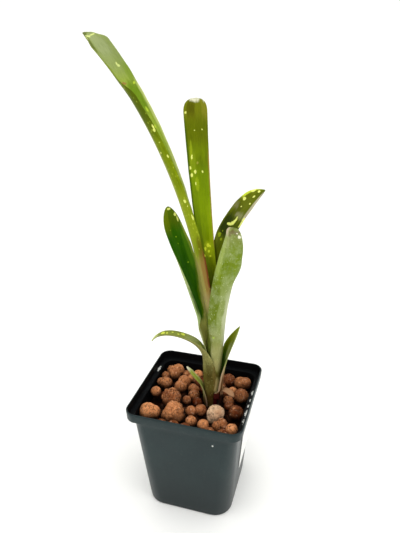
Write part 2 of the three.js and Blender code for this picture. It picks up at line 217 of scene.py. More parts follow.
class Value:
    """The output of a node, which sums take like a number."""

    def __init__(self, look, socket):
        self.look = look
        self.socket = socket

    __add__, __sub__, __mul__, __truediv__ = map(sum_node, ("ADD", "SUBTRACT", "MULTIPLY", "DIVIDE"))


class Look:
    """A material with a few short calls to add and link its nodes."""

    def __init__(self, name, **shader):
        self.material = bpy.data.materials.new(name)
        self.material.use_nodes = True
        self.tree = self.material.node_tree
        self.shader = self.tree.nodes["Principled BSDF"]
        self.set(**shader)

    def put(self, socket, value):
        if isinstance(value, Value):
            self.tree.links.new(value.socket, socket)
        else:
            socket.default_value = value

    def set(self, **inputs):
        """Sets or links inputs of the shader."""
        for key, value in inputs.items():
            self.put(self.shader.inputs[key.replace("_", " ")], value)

    def node(self, kind, inputs, out=0, **settings):
        """Adds a node and gives one of its outputs."""
        made = self.tree.nodes.new("ShaderNode" + kind)
        for key, value in settings.items():
            setattr(made, key, value)
        for key, value in inputs.items():
            self.put(made.inputs[key], value)
        return Value(self, made.outputs[out])

    def outputs(self, value):
        return [Value(self, socket) for socket in value.socket.node.outputs]

    def math(self, operation, a, b=0):
        return self.node("Math", {0: a, 1: b}, operation=operation)

    def value_of(self, name, out="Fac"):
        return self.node("Attribute", {}, out, attribute_name=name)

    def split(self, vector):
        return self.outputs(self.node("SeparateXYZ", {0: vector}))

    def scale(self, vector, factors):
        return self.node("VectorMath", {0: vector, 1: factors}, operation="MULTIPLY")

    def noise(self, vector, scale, detail=3, rough=0.55):
        inputs = {"Vector": vector, "Scale": scale, "Detail": detail, "Roughness": rough}
        return self.node("TexNoise", inputs, "Fac")

    def cells(self, vector, scale):
        """Distance to the middle of a cell, and a random colour for each cell."""
        return self.outputs(self.node("TexVoronoi", {"Vector": vector, "Scale": scale}))[:2]

    def ramp(self, value, low, high):
        """0 under low, 1 over high, smooth between them; low may be over high."""
        ends = (low, high, 0, 1) if low < high else (high, low, 1, 0)
        return self.node("MapRange", dict(enumerate((value, *ends))), interpolation_type="SMOOTHSTEP")

    def between(self, value, low, high, soft):
        """1 from low to high, fading to 0 over soft on both sides."""
        return self.ramp(value, low - soft, low + soft) * self.ramp(value, high + soft, high - soft)

    def most(self, values):
        total = values[0]
        for value in values[1:]:
            total = self.math("MAXIMUM", total, value)
        return total

    def oval(self, x, y, at_x, at_y, half_x, half_y):
        """1 inside an oval, 0 outside."""
        dx = (x - at_x) / half_x
        dy = (y - at_y) / half_y
        return self.ramp(dx * dx + dy * dy, 1.35, 0.65)

    def blend(self, factor, a, b):
        """A colour between a and b, which are linear colours or values."""
        a, b = (v if isinstance(v, Value) else (*v, 1) for v in (a, b))
        return self.node("Mix", {0: factor, 6: a, 7: b}, 2, data_type="RGBA")

    def bump(self, height, depth):
        inputs = {"Height": height, "Strength": 1, "Distance": depth * MM}
        self.set(Normal=self.node("Bump", inputs))

    def millimetres(self):
        """The place on the object in millimetres."""
        return self.scale(self.node("TexCoord", {}, "Object"), (1 / MM,) * 3)


def srgb(r, g, b):
    """Linear colour from 0-255 display values."""
    def linear(c):
        c = c / 255
        return c / 12.92 if c <= 0.04045 else ((c + 0.055) / 1.055) ** 2.4
    return tuple(linear(c) for c in (r, g, b))


def leaf_look(name, dark, light, roughness, vein=0.35, sway=0.3, fibre=0.4, relief=0.12,
              areas=(), bands=(), dots=(), spots=()):
    """One face of a leaf. Its points hold across and along in millimetres and u, -1 to 1."""
    look = Look(name, Specular_IOR_Level=LEAF_GLOSS)
    across, along, u = look.split(look.value_of("leaf", "Vector"))
    flat = look.node("CombineXYZ", {0: across, 1: along})

    def grain(x, y, detail, rough=0.55):
        return look.noise(look.scale(flat, (x, y, 1)), 1, detail, rough)

    mottle = grain(0.16, 0.045, 4, 0.6)
    tone = grain(1.9, 0.02, 2) * vein + mottle * 0.8
    color = look.blend(look.ramp(tone, 0.3, 0.85), srgb(*dark), srgb(*light))
    stray = mottle - 0.5
    free_u = u + stray * sway
    free_s = along + stray * STRAY_ALONG
    for tint, amount, low, high, soft, *side in areas:
        share = look.between(free_s, low, high, soft) * amount
        if side:
            u_low, u_high, *slant = side
            turned = (free_s - low) * (slant[0] / 100) + free_u if slant else free_u
            share = share * look.between(turned, u_low, u_high, EDGE_SOFT)
        color = look.blend(share, color, srgb(*tint))
    if bands:
        tint, size, amount, low, high = bands
        dust = look.ramp(grain(0.09, size, 5, 0.7), 0.42, 0.62)
        dust = dust * look.ramp(grain(3.2, 0.5, 3, 0.7), 0.25, 0.6)
        dust = dust * look.between(along, low, high, BAND_SOFT)
        color = look.blend(dust * amount, color, srgb(*tint))
    for tint, scale, amount in dots:
        distance, chance = look.cells(look.scale(flat, (1, 0.6, 1)), scale)
        shape = look.ramp(look.split(chance)[1], 0.5, 0.6) * look.ramp(distance, 0.32, 0.16)
        color = look.blend(shape * amount, color, srgb(*tint))
    lines = look.ramp(grain(2.4, 0.16, 4, 0.7), 0.56, 0.36) * fibre
    color = look.blend(lines, color, look.scale(color, FIBRE_SHADE))
    jitter = grain(0.9, 0.6, 2) - 0.5
    free_x = across + jitter * 1.1
    free_y = along - jitter * 1.6
    for tint, amount, ovals in spots:
        shapes = [look.oval(free_x, free_y, *oval) for oval in ovals]
        color = look.blend(look.most(shapes) * amount, color, srgb(*tint))
    look.set(Base_Color=color, Roughness=mottle * 0.14 + (roughness - 0.06))
    look.bump(grain(2.6, 0.03, 2) + grain(1.2, 1.2, 3) * 0.25, relief)
    return look.material


# Pot

def rounded_square(side, radius, z):
    """Counter-clockwise outline of a rounded square, with points along its straight sides."""
    h = side / 2 - radius
    corners = []
    for k, (sx, sy) in enumerate(QUARTERS):
        angles = [math.pi / 2 * (k + i / CORNER_STEPS) for i in range(CORNER_STEPS + 1)]
        corners.append([(sx * h + radius * math.cos(a), sy * h + radius * math.sin(a)) for a in angles])
    ring = []
    for corner, following in zip(corners, corners[1:] + corners[:1]):
        ring += corner
        (x0, y0), (x1, y1) = corner[-1], following[0]
        steps = [i / SIDE_STEPS for i in range(1, SIDE_STEPS)]
        ring += [(mix(x0, x1, t), mix(y0, y1, t)) for t in steps]
    return [(x, y, z) for x, y in ring]


def body_side(z):
    return mix(FOOT_SIDE, BODY_TOP_SIDE, z / BAND_FOOT)


def body_radius(z):
    return mix(FOOT_RADIUS, BODY_TOP_RADIUS, z / BAND_FOOT)


def inner_side(z):
    return body_side(z) - 2 * BODY_WALL


def pot_rings():
    """Outlines up the outside, over the lip and down the inside, as side, corner radius and height."""
    rings = []
    for k in range(5):
        a = math.pi / 2 * k / 4
        inset = FOOT_ROUND * (1 - math.sin(a))
        rings.append((FOOT_SIDE - 2 * inset, FOOT_RADIUS - inset, FOOT_ROUND * (1 - math.cos(a))))
    for z in np.linspace(FOOT_ROUND, BAND_FOOT - 0.9, 15)[1:]:
        rings.append((body_side(z), body_radius(z), z))
    rings += [
        (BODY_TOP_SIDE + 0.5, BODY_TOP_RADIUS, BAND_FOOT - 0.2),
        (BODY_TOP_SIDE + 1.6, BODY_TOP_RADIUS, BAND_FOOT),
        (RIM_SIDE - 1.9, RIM_RADIUS - 0.9, BAND_FOOT),
        (RIM_SIDE - 1, RIM_RADIUS - 0.5, BAND_FOOT + 0.25),
        (RIM_SIDE - 0.8, RIM_RADIUS - 0.4, BAND_FOOT + 0.8),
        (RIM_SIDE - 0.3, RIM_RADIUS - 0.15, POT_HEIGHT - 3)]
    lip = RIM_WALL / 2
    for k in range(9):
        a = math.pi * k / 8
        inset = lip * (1 - math.cos(a))
        rings.append((RIM_SIDE - 2 * inset, RIM_RADIUS - inset, POT_HEIGHT - lip + lip * math.sin(a)))
    inner = RIM_SIDE - 2 * RIM_WALL
    top = inner_side(BAND_FOOT)
    rings += [
        (inner - 0.1, RIM_RADIUS - RIM_WALL, POT_HEIGHT - 3),
        (inner - 0.3, RIM_RADIUS - 1.6, LEDGE_TOP + 0.9),
        (inner - 0.9, RIM_RADIUS - 1.9, LEDGE_TOP + 0.2),
        (inner - 1.8, RIM_RADIUS - 2.3, LEDGE_TOP),
        (top + 1.4, BODY_TOP_RADIUS - 0.6, LEDGE_TOP),
        (top + 0.5, BODY_TOP_RADIUS - 1, LEDGE_TOP - 0.3)]
    for z in np.linspace(LEDGE_TOP - 1.2, FLOOR, 10)[1:]:
        rings.append((inner_side(z), body_radius(z) - BODY_WALL, z))
    return [rounded_square(*ring) for ring in rings]


def cut_drains(piece):
    """Four round holes near the corners of the underside."""
    for sx, sy in QUARTERS:
        round_hole = [(sx * DRAIN_OFFSET + DRAIN_RADIUS * math.cos(a),
                       sy * DRAIN_OFFSET + DRAIN_RADIUS * math.sin(a)) for a in turns(32)]
        rings = [[(x, y, z) for x, y in round_hole] for z in (-DRILL_REACH, DRILL_REACH)]
        drill = new_piece("drill", *stacked(rings))
        cut = piece.modifiers.new("drain", "BOOLEAN")
        cut.object = drill
        cut.operation = "DIFFERENCE"
        cut.solver = "EXACT"
        deps = bpy.context.evaluated_depsgraph_get()
        made = bpy.data.meshes.new_from_object(piece.evaluated_get(deps))
        piece.modifiers.clear()
        piece.data = made
        bpy.data.objects.remove(drill)


# Painted highlights on the plastic, glints along the rim's ledge and a speck on the front: place, half
# width and half length along the side
GLINTS = ((42.6, 13, 89.6, 1.2, 2.6), (42.4, 4, 89.6, 1, 1.6), (42.6, -3.5, 90.2, 1.5, 2.2),
          (42.4, -12, 89.8, 1.2, 3.4), (42.8, -21, 90.4, 1.5, 4), (-41.8, 24, 89.6, 0.9, 3.6),
          (23.2, -39.6, 77.8, 0.7, 0.7))


def pot_look():
    look = Look("pot_plastic", Specular_Tint=(0.7, 0.9, 0.94, 1))
    place = look.millimetres()
    height = look.split(place)[2]
    inside = look.value_of("inside")
    broad = look.ramp(look.noise(place, 0.045, 3), 0.35, 0.7)
    base = look.blend(broad, srgb(9, 23, 24), srgb(17, 31, 31))
    grime = look.ramp(look.noise(place, 0.35, 5), 0.55, 0.8)
    base = look.blend(grime * 0.12, base, srgb(88, 92, 84))
    # Painted shade: darker towards the bottom of the pot
    base = look.blend(look.ramp(height, 62, 8) * 0.85, base, srgb(3, 10, 10))
    # Painted shade: the inner walls and the rim top go near black
    base = look.blend(inside, base, srgb(10, 10, 11))
    marks = []
    wander = (look.noise(place, 0.8, 3) - 0.5) * 2.6
    for *middle, wide, long in GLINTS:
        offset = look.node("VectorMath", {0: place, 1: middle}, operation="SUBTRACT")
        offset = look.scale(offset, (1 / wide, 1 / long, 1 / wide))
        away = look.node("VectorMath", {0: offset}, "Value", operation="LENGTH")
        marks.append(look.ramp(away + wander, 1.25, 0.85))
    # Painted highlights: near-white glints on the plastic
    base = look.blend(look.most(marks) * 0.85, base, srgb(225, 226, 220))
    scuff = look.noise(look.scale(place, (1, 1, 0.15)), 0.9, 4)
    # Less reflection where the inside is painted in shade
    look.set(Base_Color=base, Specular_IOR_Level=inside * -0.35 + 0.39, Roughness=scuff * 0.16 + 0.3)
    look.bump(look.noise(place, 1.4, 3), 0.05)
    return look.material


def depth_in(x, y, side, radius):
    """Distance of a point inside the outline of a rounded square."""
    cx = abs(x) - (side / 2 - radius)
    cy = abs(y) - (side / 2 - radius)
    return radius - math.hypot(max(cx, 0), max(cy, 0)) - min(max(cx, cy), 0)


def make_pot():
    pot = new_piece("pot_shell", *stacked(pot_rings()), materials=[pot_look()])
    cut_drains(pot)
    # inside: 1 where the pot is painted in shade, over its inner walls and rim top
    inside = []
    for v in pot.data.vertices:
        x, y, z = (c / MM for c in v.co)
        if z > LEDGE_TOP - 0.5:
            inside.append(smooth((depth_in(x, y, RIM_SIDE, RIM_RADIUS) / RIM_WALL - 0.3) / 0.5))
        else:
            depth = depth_in(x, y, body_side(z), body_radius(z))
            inside.append(1 if depth > 0.6 * BODY_WALL and z > FLOOR - 0.1 else 0)
    point_values(pot, "inside", inside)
    pot.data.polygons.foreach_set("use_smooth", [True] * len(pot.data.polygons))
    pot.data.set_sharp_from_angle(angle=SHARP_FROM)
    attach(pot, "root")
    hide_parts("pot")


def label_look():
    look = Look("label_paper", Roughness=0.55)
    place = look.millimetres()
    fibre = look.noise(place, 1.6, 5)
    base = look.blend(look.ramp(fibre, 0.3, 0.7), srgb(232, 232, 228), srgb(246, 246, 243))
    soil = look.ramp(look.noise(place, 0.12, 4), 0.55, 0.8)
    look.set(Base_Color=look.blend(soil * 0.25, base, srgb(205, 200, 184)))
    look.bump(fibre, 0.03)
    return look.material


def make_label():
    """A thin sheet on the right wall, whose corners lift a little."""
    nx, ny = LABEL_STEPS
    w = LABEL_WIDTH / 2
    h = LABEL_HEIGHT / 2
    across = w - LABEL_CORNER
    up = h - LABEL_CORNER
    tilt = math.atan((BODY_TOP_SIDE - FOOT_SIDE) / 2 / BAND_FOOT)

    def place(i, j, level):
        a = 2 * i / nx - 1
        b = 2 * j / ny - 1
        corner = max(abs(a) * w - across, 0), max(abs(b) * h - up, 0)
        reach = math.hypot(*corner)
        pull = 1 if reach <= LABEL_CORNER or min(corner) == 0 else LABEL_CORNER / reach
        y = math.copysign(min(abs(a) * w, across) + corner[0] * pull, a)
        v = math.copysign(min(abs(b) * h, up) + corner[1] * pull, b)
        out = 0.3 + 0.12 * noise.noise(Vector((y * 0.08, v * 0.08, 3))) + level * LABEL_THICK
        out += 0.5 * smooth((a - 0.75) * 4) * smooth((-b - 0.75) * 4)
        x = body_side(LABEL_MIDDLE[1]) / 2 + out * math.cos(tilt) + v * math.sin(tilt)
        return x, LABEL_MIDDLE[0] + y, LABEL_MIDDLE[1] + v * math.cos(tilt) - out * math.sin(tilt)

    round_edge = [(i, 1) for i in range(nx + 1)] + [(i, 0) for i in range(nx, -1, -1)]
    verts = [place(i, j, level) for j in range(ny + 1) for i, level in round_edge]
    faces = walls(ny + 1, len(round_edge)) + strips(ny + 1, len(round_edge), 1)
    sheet = new_piece("label_sheet", verts, faces, materials=[label_look()])
    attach(sheet, "root")
    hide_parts("pot_label")


# Leaves: each clasps the stem as part of a ring, then its blade leans away.
# look: name of its faces; steps, across: steps along and across the blade
# wave, rough_foot, rough_top: how far the margins ripple and both ends are frayed
# keel: azimuth of the midrib; ring, wrap: radius and half angle of the clasp at its foot and top
# top, length: where the blade starts and how long it is; lean: from upright at both ends
# heading: azimuth it leans to; turn: how far its outer face turns about the upright
# width, curl: flat width and half angle of the cross arc at the middle and end of the blade
# tip: length of the tip and the two powers of its outline
# clasp: degrees by which the sheath wraps further each way, held to one place and gone at the next
# ease: share of its curl that the half with the last margin has between two places
# torn: height that the foot has lost at its first and last margin
# bumps: where a margin stands out: place along the leaf, reach, side (-1 first, 1 last) and millimetres
LEAVES = {
    "leaf_centre": dict(
        look="centre", slot="leaf_yellow_green", steps=150, across=22, wave=0.5, rough_top=0.8,
        keel=104, ring=(1.9, 3.25), wrap=(120, 90), top=152, length=162.4,
        lean=(14.4, 2.3), bend=0.68, heading=(163.3, 159.6), turn=-11.8, turn_bend=0.72,
        width=(13.7, 17.4), curl=(31.6, 30.3), tip=(9, 2.2, 3.2)),
    "leaf_long_left": dict(
        look="long", slot="leaf_mid_green", steps=200, across=26, wave=0.4,
        keel=203, ring=(2.8, 5.6), wrap=(86, 86), top=137.7, length=247,
        lean=(5.2, 51.5), bend=1.24, heading=(169.4, 158.3), turn=-49, turn_bend=2.6,
        width=(21.5, 23.1), curl=(79, 67.2), tip=(9, 2.2, 2.6), ease=((1.16, 110, 262), (0.6, 246, 303)),
        bumps=((307, 12, 1, -7), (308, 10, -1, -3.6))),
    "leaf_right_back": dict(
        look="back", slot="leaf_dark_olive", steps=110, across=20, wave=0.4,
        keel=38, ring=(2.8, 4.8), wrap=(72, 72), top=158.7, length=105.8,
        lean=(-6.5, 59.3), bend=1.95, heading=(23, 15.7), turn=38.6, turn_bend=1.5,
        width=(18, 13.2), curl=(38.7, 41), tip=(20, 1.4, 1.4),
        bumps=((142, 30, 1, 0.7), (163, 17, 1, -0.9), (186, 13, 1, 2.2))),
    "leaf_left": dict(
        look="left", slot="leaf_deep_green", steps=120, across=22, wave=0.4,
        keel=165, ring=(3.7, 6.47), wrap=(80, 78), top=124.7, length=118.5,
        lean=(22.1, 15), bend=1.03, heading=(166.4, 165.2), turn=-54.1, turn_bend=3.5,
        width=(23.8, 11.6), curl=(80, 16.9), tip=(20, 2, 2),
        ease=((0.45, 46, 86),), bumps=((152, 14, -1, -0.8),)),
    "leaf_front": dict(
        look="front", slot="leaf_pale_scurfy", steps=130, across=22, wave=0.5, rough_top=1.6,
        keel=-37, ring=(3.7, 6.6), wrap=(65, 65), top=138, length=94,
        lean=(8.8, -1.3), bend=3, heading=(-13.6, 6.2), turn=-65.6, turn_bend=2.74,
        width=(24.9, 7.8), curl=(75, 20.6), tip=(4, 2, 4),
        ease=((1.45, 78, 122), (0.65, 113, 136)), bumps=((157, 6, -1, 1.4), (116, 16, 1, -1.8))),
    "leaf_low_left": dict(
        look="low_left", slot="leaf_grey_olive", steps=120, across=20, wave=0.3, rough_foot=2,
        keel=199, ring=(4.6, 8.4), wrap=(50, 50), top=118.6, length=60.9,
        lean=(20.6, 147), bend=1.06, heading=(202, 156.2), turn=-7.7, turn_bend=0.6,
        width=(9.1, 6.1), curl=(54.7, 35), tip=(16, 1.5, 1.6), clasp=(45, 24, 56),
        bumps=((46, 26, 1, 4),)),
    "leaf_low_right": dict(
        look="low_right", slot="leaf_deep_green", steps=90, across=16, wave=0.3, rough_foot=2.4,
        keel=-1, ring=(7.1, 8.2), wrap=(50, 48), top=91, length=62.7,
        lean=(0.6, 24), bend=1.12, heading=(10, 5.8), turn=40, turn_bend=0.6,
        width=(14.5, 14.9), curl=(46, 35), tip=(22, 1.2, 1.2), torn=(13, 6), clasp=(14, 15, 21),
        bumps=((60, 24, -1, -2),)),
    "leaf_stub_left": dict(
        look="stub", slot="leaf_grey_olive", steps=60, across=14, wave=0.4, rough_top=1.2,
        keel=203, ring=(5.5, 7), wrap=(50, 50), top=82.4, length=35.9,
        lean=(48.9, 28.9), bend=1, heading=(204, 204), turn=-13.5, turn_bend=0.8,
        width=(7.8, 5.8), curl=(28, 21.8), tip=(8, 1.6, 1.6)),
    "dry_scale": dict(
        look="dry", slot="dry_sheath", steps=44, across=12, wave=1, rough_top=1.5,
        keel=-16, ring=(6.6, 9.2), wrap=(7, 14), top=94, length=12,
        lean=(0, 126), bend=0.3, heading=(-20, -26), turn=-11, turn_bend=1.3,
        width=(5.4, 4.2), curl=(24, 8), tip=(3, 1.5, 2)),
}


def axis_at(z):
    rise = z - LEAN_LEVEL
    return np.array([AXIS[0] + LEAN[0] * rise, AXIS[1] + LEAN[1] * rise, z])


def through(v, s):
    """Value at s, 0 to 1, through a start, a middle and an end value."""
    return v[0] * (1 - s) * (1 - 2 * s) + v[1] * 4 * s * (1 - s) + v[2] * s * (2 * s - 1)


def keel_line(leaf):
    """Points up the keel, their (facing, flat width, curl) and their distances along it."""
    points = []
    values = []
    keel = math.radians(leaf["keel"])
    e = np.array([math.cos(keel), math.sin(keel), 0])
    top, wrap, ring, lean = (leaf[key] for key in ("top", "wrap", "ring", "lean"))
    low = round((top - SHEATH_FOOT) / 2)
    for k in range(low):
        t = k / low
        r = mix(*ring, t ** RING_BEND)
        half = mix(*wrap, t)
        points.append(axis_at(mix(SHEATH_FOOT, top, t)) + e * r)
        values.append((leaf["keel"], 2 * math.radians(half) * r, half))
    p = axis_at(top) + e * ring[1]
    widths = (2 * math.radians(wrap[1]) * ring[1], *leaf["width"])
    curls = (wrap[1], *leaf["curl"])
    high = max(10, round(leaf["length"]))
    step = leaf["length"] / high
    for k in range(high + 1):
        s = k / high
        facing = leaf["keel"] + leaf["turn"] * s ** leaf["turn_bend"]
        points.append(p.copy())
        values.append((facing, through(widths, s), through(curls, s)))
        m = (k + 0.5) / high
        start = lean[0] * smooth(m * leaf["length"] / 25)
        tilt = math.radians(start + (lean[1] - lean[0]) * m ** leaf["bend"])
        way = math.radians(mix(*leaf["heading"], m))
        out = math.sin(tilt) * step
        p = p + np.array([out * math.cos(way), out * math.sin(way), math.cos(tilt) * step])
    points = np.array(points)
    values = np.array(values)
    run = np.concatenate([[0], np.cumsum(np.linalg.norm(np.diff(points, axis=0), axis=1))])
    if "clasp" in leaf:
        extra, full, gone = leaf["clasp"]
        for value, s in zip(values, run):
            more = extra * (1 - smooth((s - full) / (gone - full)))
            value[1] *= 1 + more / value[2]
            value[2] += more
    return points, values, run


def last_share(leaf, s):
    """Share of its curl that the half with the last margin has at s."""
    total = 1
    for share, start, end in leaf.get("ease", ()):
        total *= 1 - (1 - share) * smooth((s - start) / 20) * (1 - smooth((s - end + 12) / 12))
    return total


def bump_at(leaf, s, side):
    """How far a margin stands out at s."""
    bumps = [bump for bump in leaf.get("bumps", ()) if bump[2] == side]
    return sum(height * smooth(1 - abs(s - at) / reach) for at, reach, _, height in bumps)


def cross_arcs(leaf, steps):
    """Cross arcs along the leaf, closer together near the tip."""
    points, values, run = keel_line(leaf)
    total = run[-1]
    tip_length, p, q = leaf["tip"]
    knee = 1 - tip_length / total
    end = max(10, steps // 4)
    places = [knee * k / (steps - end) for k in range(steps - end)]
    places += [1 - (1 - knee) * (1 - k / (end - 1)) ** 1.6 for k in range(end)]

    def at(s):
        return np.array([np.interp(s, run, points[:, i]) for i in range(3)])

    arcs = []
    for place in places:
        s = place * total
        facing, width, curl = (np.interp(s, run, values[:, i]) for i in range(3))
        along = at(min(s + 1.5, total)) - at(max(s - 1.5, 0))
        along /= np.linalg.norm(along)
        left = total - s
        narrow = 1 if left >= tip_length else max(1 - (1 - left / tip_length) ** p, 0) ** (1 / q)
        a = math.radians(facing)
        inward = np.cross(along, (-math.sin(a), math.cos(a), 0))
        inward /= np.linalg.norm(inward)
        bow = width / (2 * math.radians(max(curl, 2)))
        half = max(width * narrow, TIP_WIDTH) / 2 / bow
        halves = [half + bump_at(leaf, s, side) * narrow / bow for side in (-1, 1)]
        arcs.append((at(s), inward, np.cross(inward, along), bow, halves, s))
    return arcs, total


def make_leaf(name, leaf, materials):
    """A blade with rounded margins; its inner and its outer face have their own materials."""
    across = leaf["across"]
    arcs, total = cross_arcs(leaf, leaf["steps"])
    us = [math.sin(math.pi / 2 * (2 * k / across - 1)) for k in range(across + 1)]
    seed = 1 + sum(ord(c) for c in name) % 17

    def rough(key, x, y, z):
        return leaf.get(key, 0) * noise.noise(Vector((x, y, z)))

    verts = []
    marks = []
    for point, inward, lateral, bow, halves, s in arcs:
        for sign, order in ((1, us), (-1, us[-2:0:-1])):
            for u in order:
                share = last_share(leaf, s) if u > 0 else 1
                half = halves[1] if u > 0 else halves[0]
                th = u * half * share
                p = point + inward * (bow / share * (1 - math.cos(th)))
                p = p + lateral * (bow / share * math.sin(th))
                thick = sign * BLADE_THICK / 2 * math.sqrt(max(1 - abs(u) ** 16, 0))
                p = p + (inward * math.cos(th) - lateral * math.sin(th)) * thick
                p = p + inward * (abs(u) ** 3 * rough("wave", s * 0.09, 4 * u, seed))
                fray = (1 - smooth(s / 10)) * rough("rough_foot", u * 6, 1, seed)
                fray += smooth(1 - (total - s) / 6) * rough("rough_top", u * 5, 2, seed)
                p[2] += mix(*leaf.get("torn", (0, 0)), (u + 1) / 2) * (1 - smooth(s / 24)) + fray
                verts.append(p)
                marks.append((u * half * bow, s, u))
    loop = 2 * across
    faces = walls(len(arcs), loop) + strips(len(arcs), loop, 0)
    slots = ([0] * across + [1] * across) * (len(arcs) - 1) + [1] * loop
    title = name.replace("leaf_", "blade_").replace("dry_scale", "blade_dry")
    piece = new_piece(title, verts, faces, materials, slots)
    turn_out(piece)
    point_values(piece, "leaf", marks, "FLOAT_VECTOR")
    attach(piece, "root")
    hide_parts(name)


# Colours, read from the photograph
CREAM = (226, 232, 120)
PALE_DUST = (186, 196, 150)
RED_BROWN = (104, 40, 14)
MAROON = (76, 6, 16)

# Faces of the leaves: dark and light green, then marks on them. Places along them are in millimetres.
# areas: colour, amount, start, end and softness; some also first and last u, and a slant per 100
# bands: colour, fineness, amount, start and end; dots: colour, fineness, amount
# spots: colour, amount, ovals as place across and along, half width and half length
FACES = {}
FACES["centre_inner"] = dict(
    dark=(86, 104, 0), light=(118, 138, 0), roughness=0.3, vein=0.3,
    areas=(
        ((94, 102, 0), 0.7, 212, 230, 5), ((112, 116, 14), 0.8, 228, 260, 5),
        ((84, 84, 0), 0.8, 229, 240, 4, 0.1, 0.75), ((136, 134, 36), 0.6, 228, 240, 4, -1.3, -0.5),
        ((148, 172, 4), 0.6, 118, 174, 12, -0.95, 0.35), ((176, 190, 30), 0.6, 122, 166, 8, -0.95, -0.4),
        ((150, 168, 30), 0.4, 188, 206, 6, 0.3, 0.8), ((124, 154, 0), 0.5, 148, 194, 8),
        ((128, 144, 16), 0.7, 100, 128, 6), ((60, 84, 0), 0.75, 60, 226, 8, 0.84, 1.3),
        ((188, 136, 84), 0.6, 140, 206, 6, -1.3, -0.92), ((230, 228, 196), 0.95, 239.4, 260, 1.2)),
    spots=(
        ((176, 194, 24), 0.7, ((-0.8, 136.5, 3, 6),)),
        ((168, 186, 30), 0.4, ((4.8, 207, 0.9, 7), (2.2, 184, 1.4, 5))),
        (CREAM, 0.95, ((7.1, 231.8, 0.7, 0.7), (-3.7, 220.8, 0.6, 0.5), (1.7, 220.3, 0.35, 0.35),
            (4.6, 202.9, 0.5, 1.4), (6.1, 195.7, 0.7, 1.2), (3, 192.7, 0.85, 1.2), (5.6, 190.6, 0.8, 1.3),
            (-2.2, 192.6, 0.7, 0.8), (3.3, 184.5, 0.5, 1.1))),
        ((236, 246, 60), 1, ((-1, 139.4, 1.1, 1.4), (1.4, 136.8, 0.7, 1.5), (-2.6, 139, 0.7, 1),
            (-1.1, 134.8, 0.8, 1), (-1.8, 131.2, 0.8, 0.8), (2.2, 131.8, 0.5, 1.1))),
        ((170, 160, 70), 0.5, ((1, 198.7, 0.6, 0.9),))))
FACES["centre_outer"] = dict(
    dark=(88, 110, 14), light=(132, 152, 44), roughness=0.5, bands=(PALE_DUST, 0.12, 0.45, 60, 260))
FACES["long_inner"] = dict(
    dark=(110, 132, 16), light=(156, 176, 60), roughness=0.4, vein=0.5,
    areas=(
        # The two pale grey-green areas at the tip, from 270 on, are a painted sheen of the light from above
        ((138, 150, 90), 0.9, 270, 320, 14), ((150, 160, 112), 0.6, 288, 308, 5, -0.7, 0.1),
        ((124, 148, 44), 0.7, 258, 279, 6, -1.3, -0.6), ((96, 130, 0), 0.75, 240, 262, 5, -0.9, -0.3),
        ((202, 208, 132), 0.75, 130, 262, 8, -1.3, -0.86), ((84, 94, 12), 0.85, 290, 320, 3, 0.34, 1.3),
        ((96, 108, 24), 0.85, 309.2, 330, 0.8, -0.7, 0.5)),
    spots=(
        ((206, 216, 132), 0.9, ((-6.1, 277.4, 1.1, 1), (-5.6, 279.2, 0.5, 1.3), (1, 306.2, 2.4, 1.1),
            (5, 303, 1.2, 2), (-3.4, 307.2, 2.6, 0.6))),
        ((186, 206, 60), 0.9, ((-9.1, 261.6, 0.9, 0.8), (-7.5, 228.1, 0.6, 1.5), (-7.8, 241.1, 0.6, 2.2))),
        ((150, 96, 58), 0.7, ((-1, 263.4, 2.4, 1.2),))))
FACES["long_outer"] = dict(
    dark=(82, 100, 0), light=(124, 140, 4), roughness=0.42, vein=0.5,
    areas=(
        ((160, 166, 72), 0.6, 130, 256, 24, -1.3, 0.42), ((68, 82, 0), 0.75, 222, 262, 12, 0.4, 1.3),
        ((150, 164, 30), 0.5, 140, 180, 8, 0.3, 1.3), ((152, 140, 76), 0.85, 96, 132, 6),
        ((150, 134, 86), 0.8, 86, 104, 4), ((96, 104, 44), 0.85, 40, 90, 6),
        ((96, 92, 4), 0.8, 130, 144, 4, 0.66, 1.3), ((134, 100, 44), 0.8, 102, 132, 6, 0.6, 1.3),
        (RED_BROWN, 0.9, 106, 134, 5, 0.88, 1.3)),
    spots=(
        (CREAM, 0.9, ((10.1, 225.6, 0.6, 1.6), (9.6, 223.3, 0.8, 1.2), (5.8, 208.5, 0.6, 0.8),
            (9.7, 204.4, 0.5, 1.1), (8.6, 214.8, 0.3, 0.4), (8.2, 172.9, 0.8, 1.3), (8.9, 169.1, 0.4, 0.6),
            (9.5, 160.9, 0.4, 2))),),
    dots=(((176, 190, 60), 0.55, 0.5),))
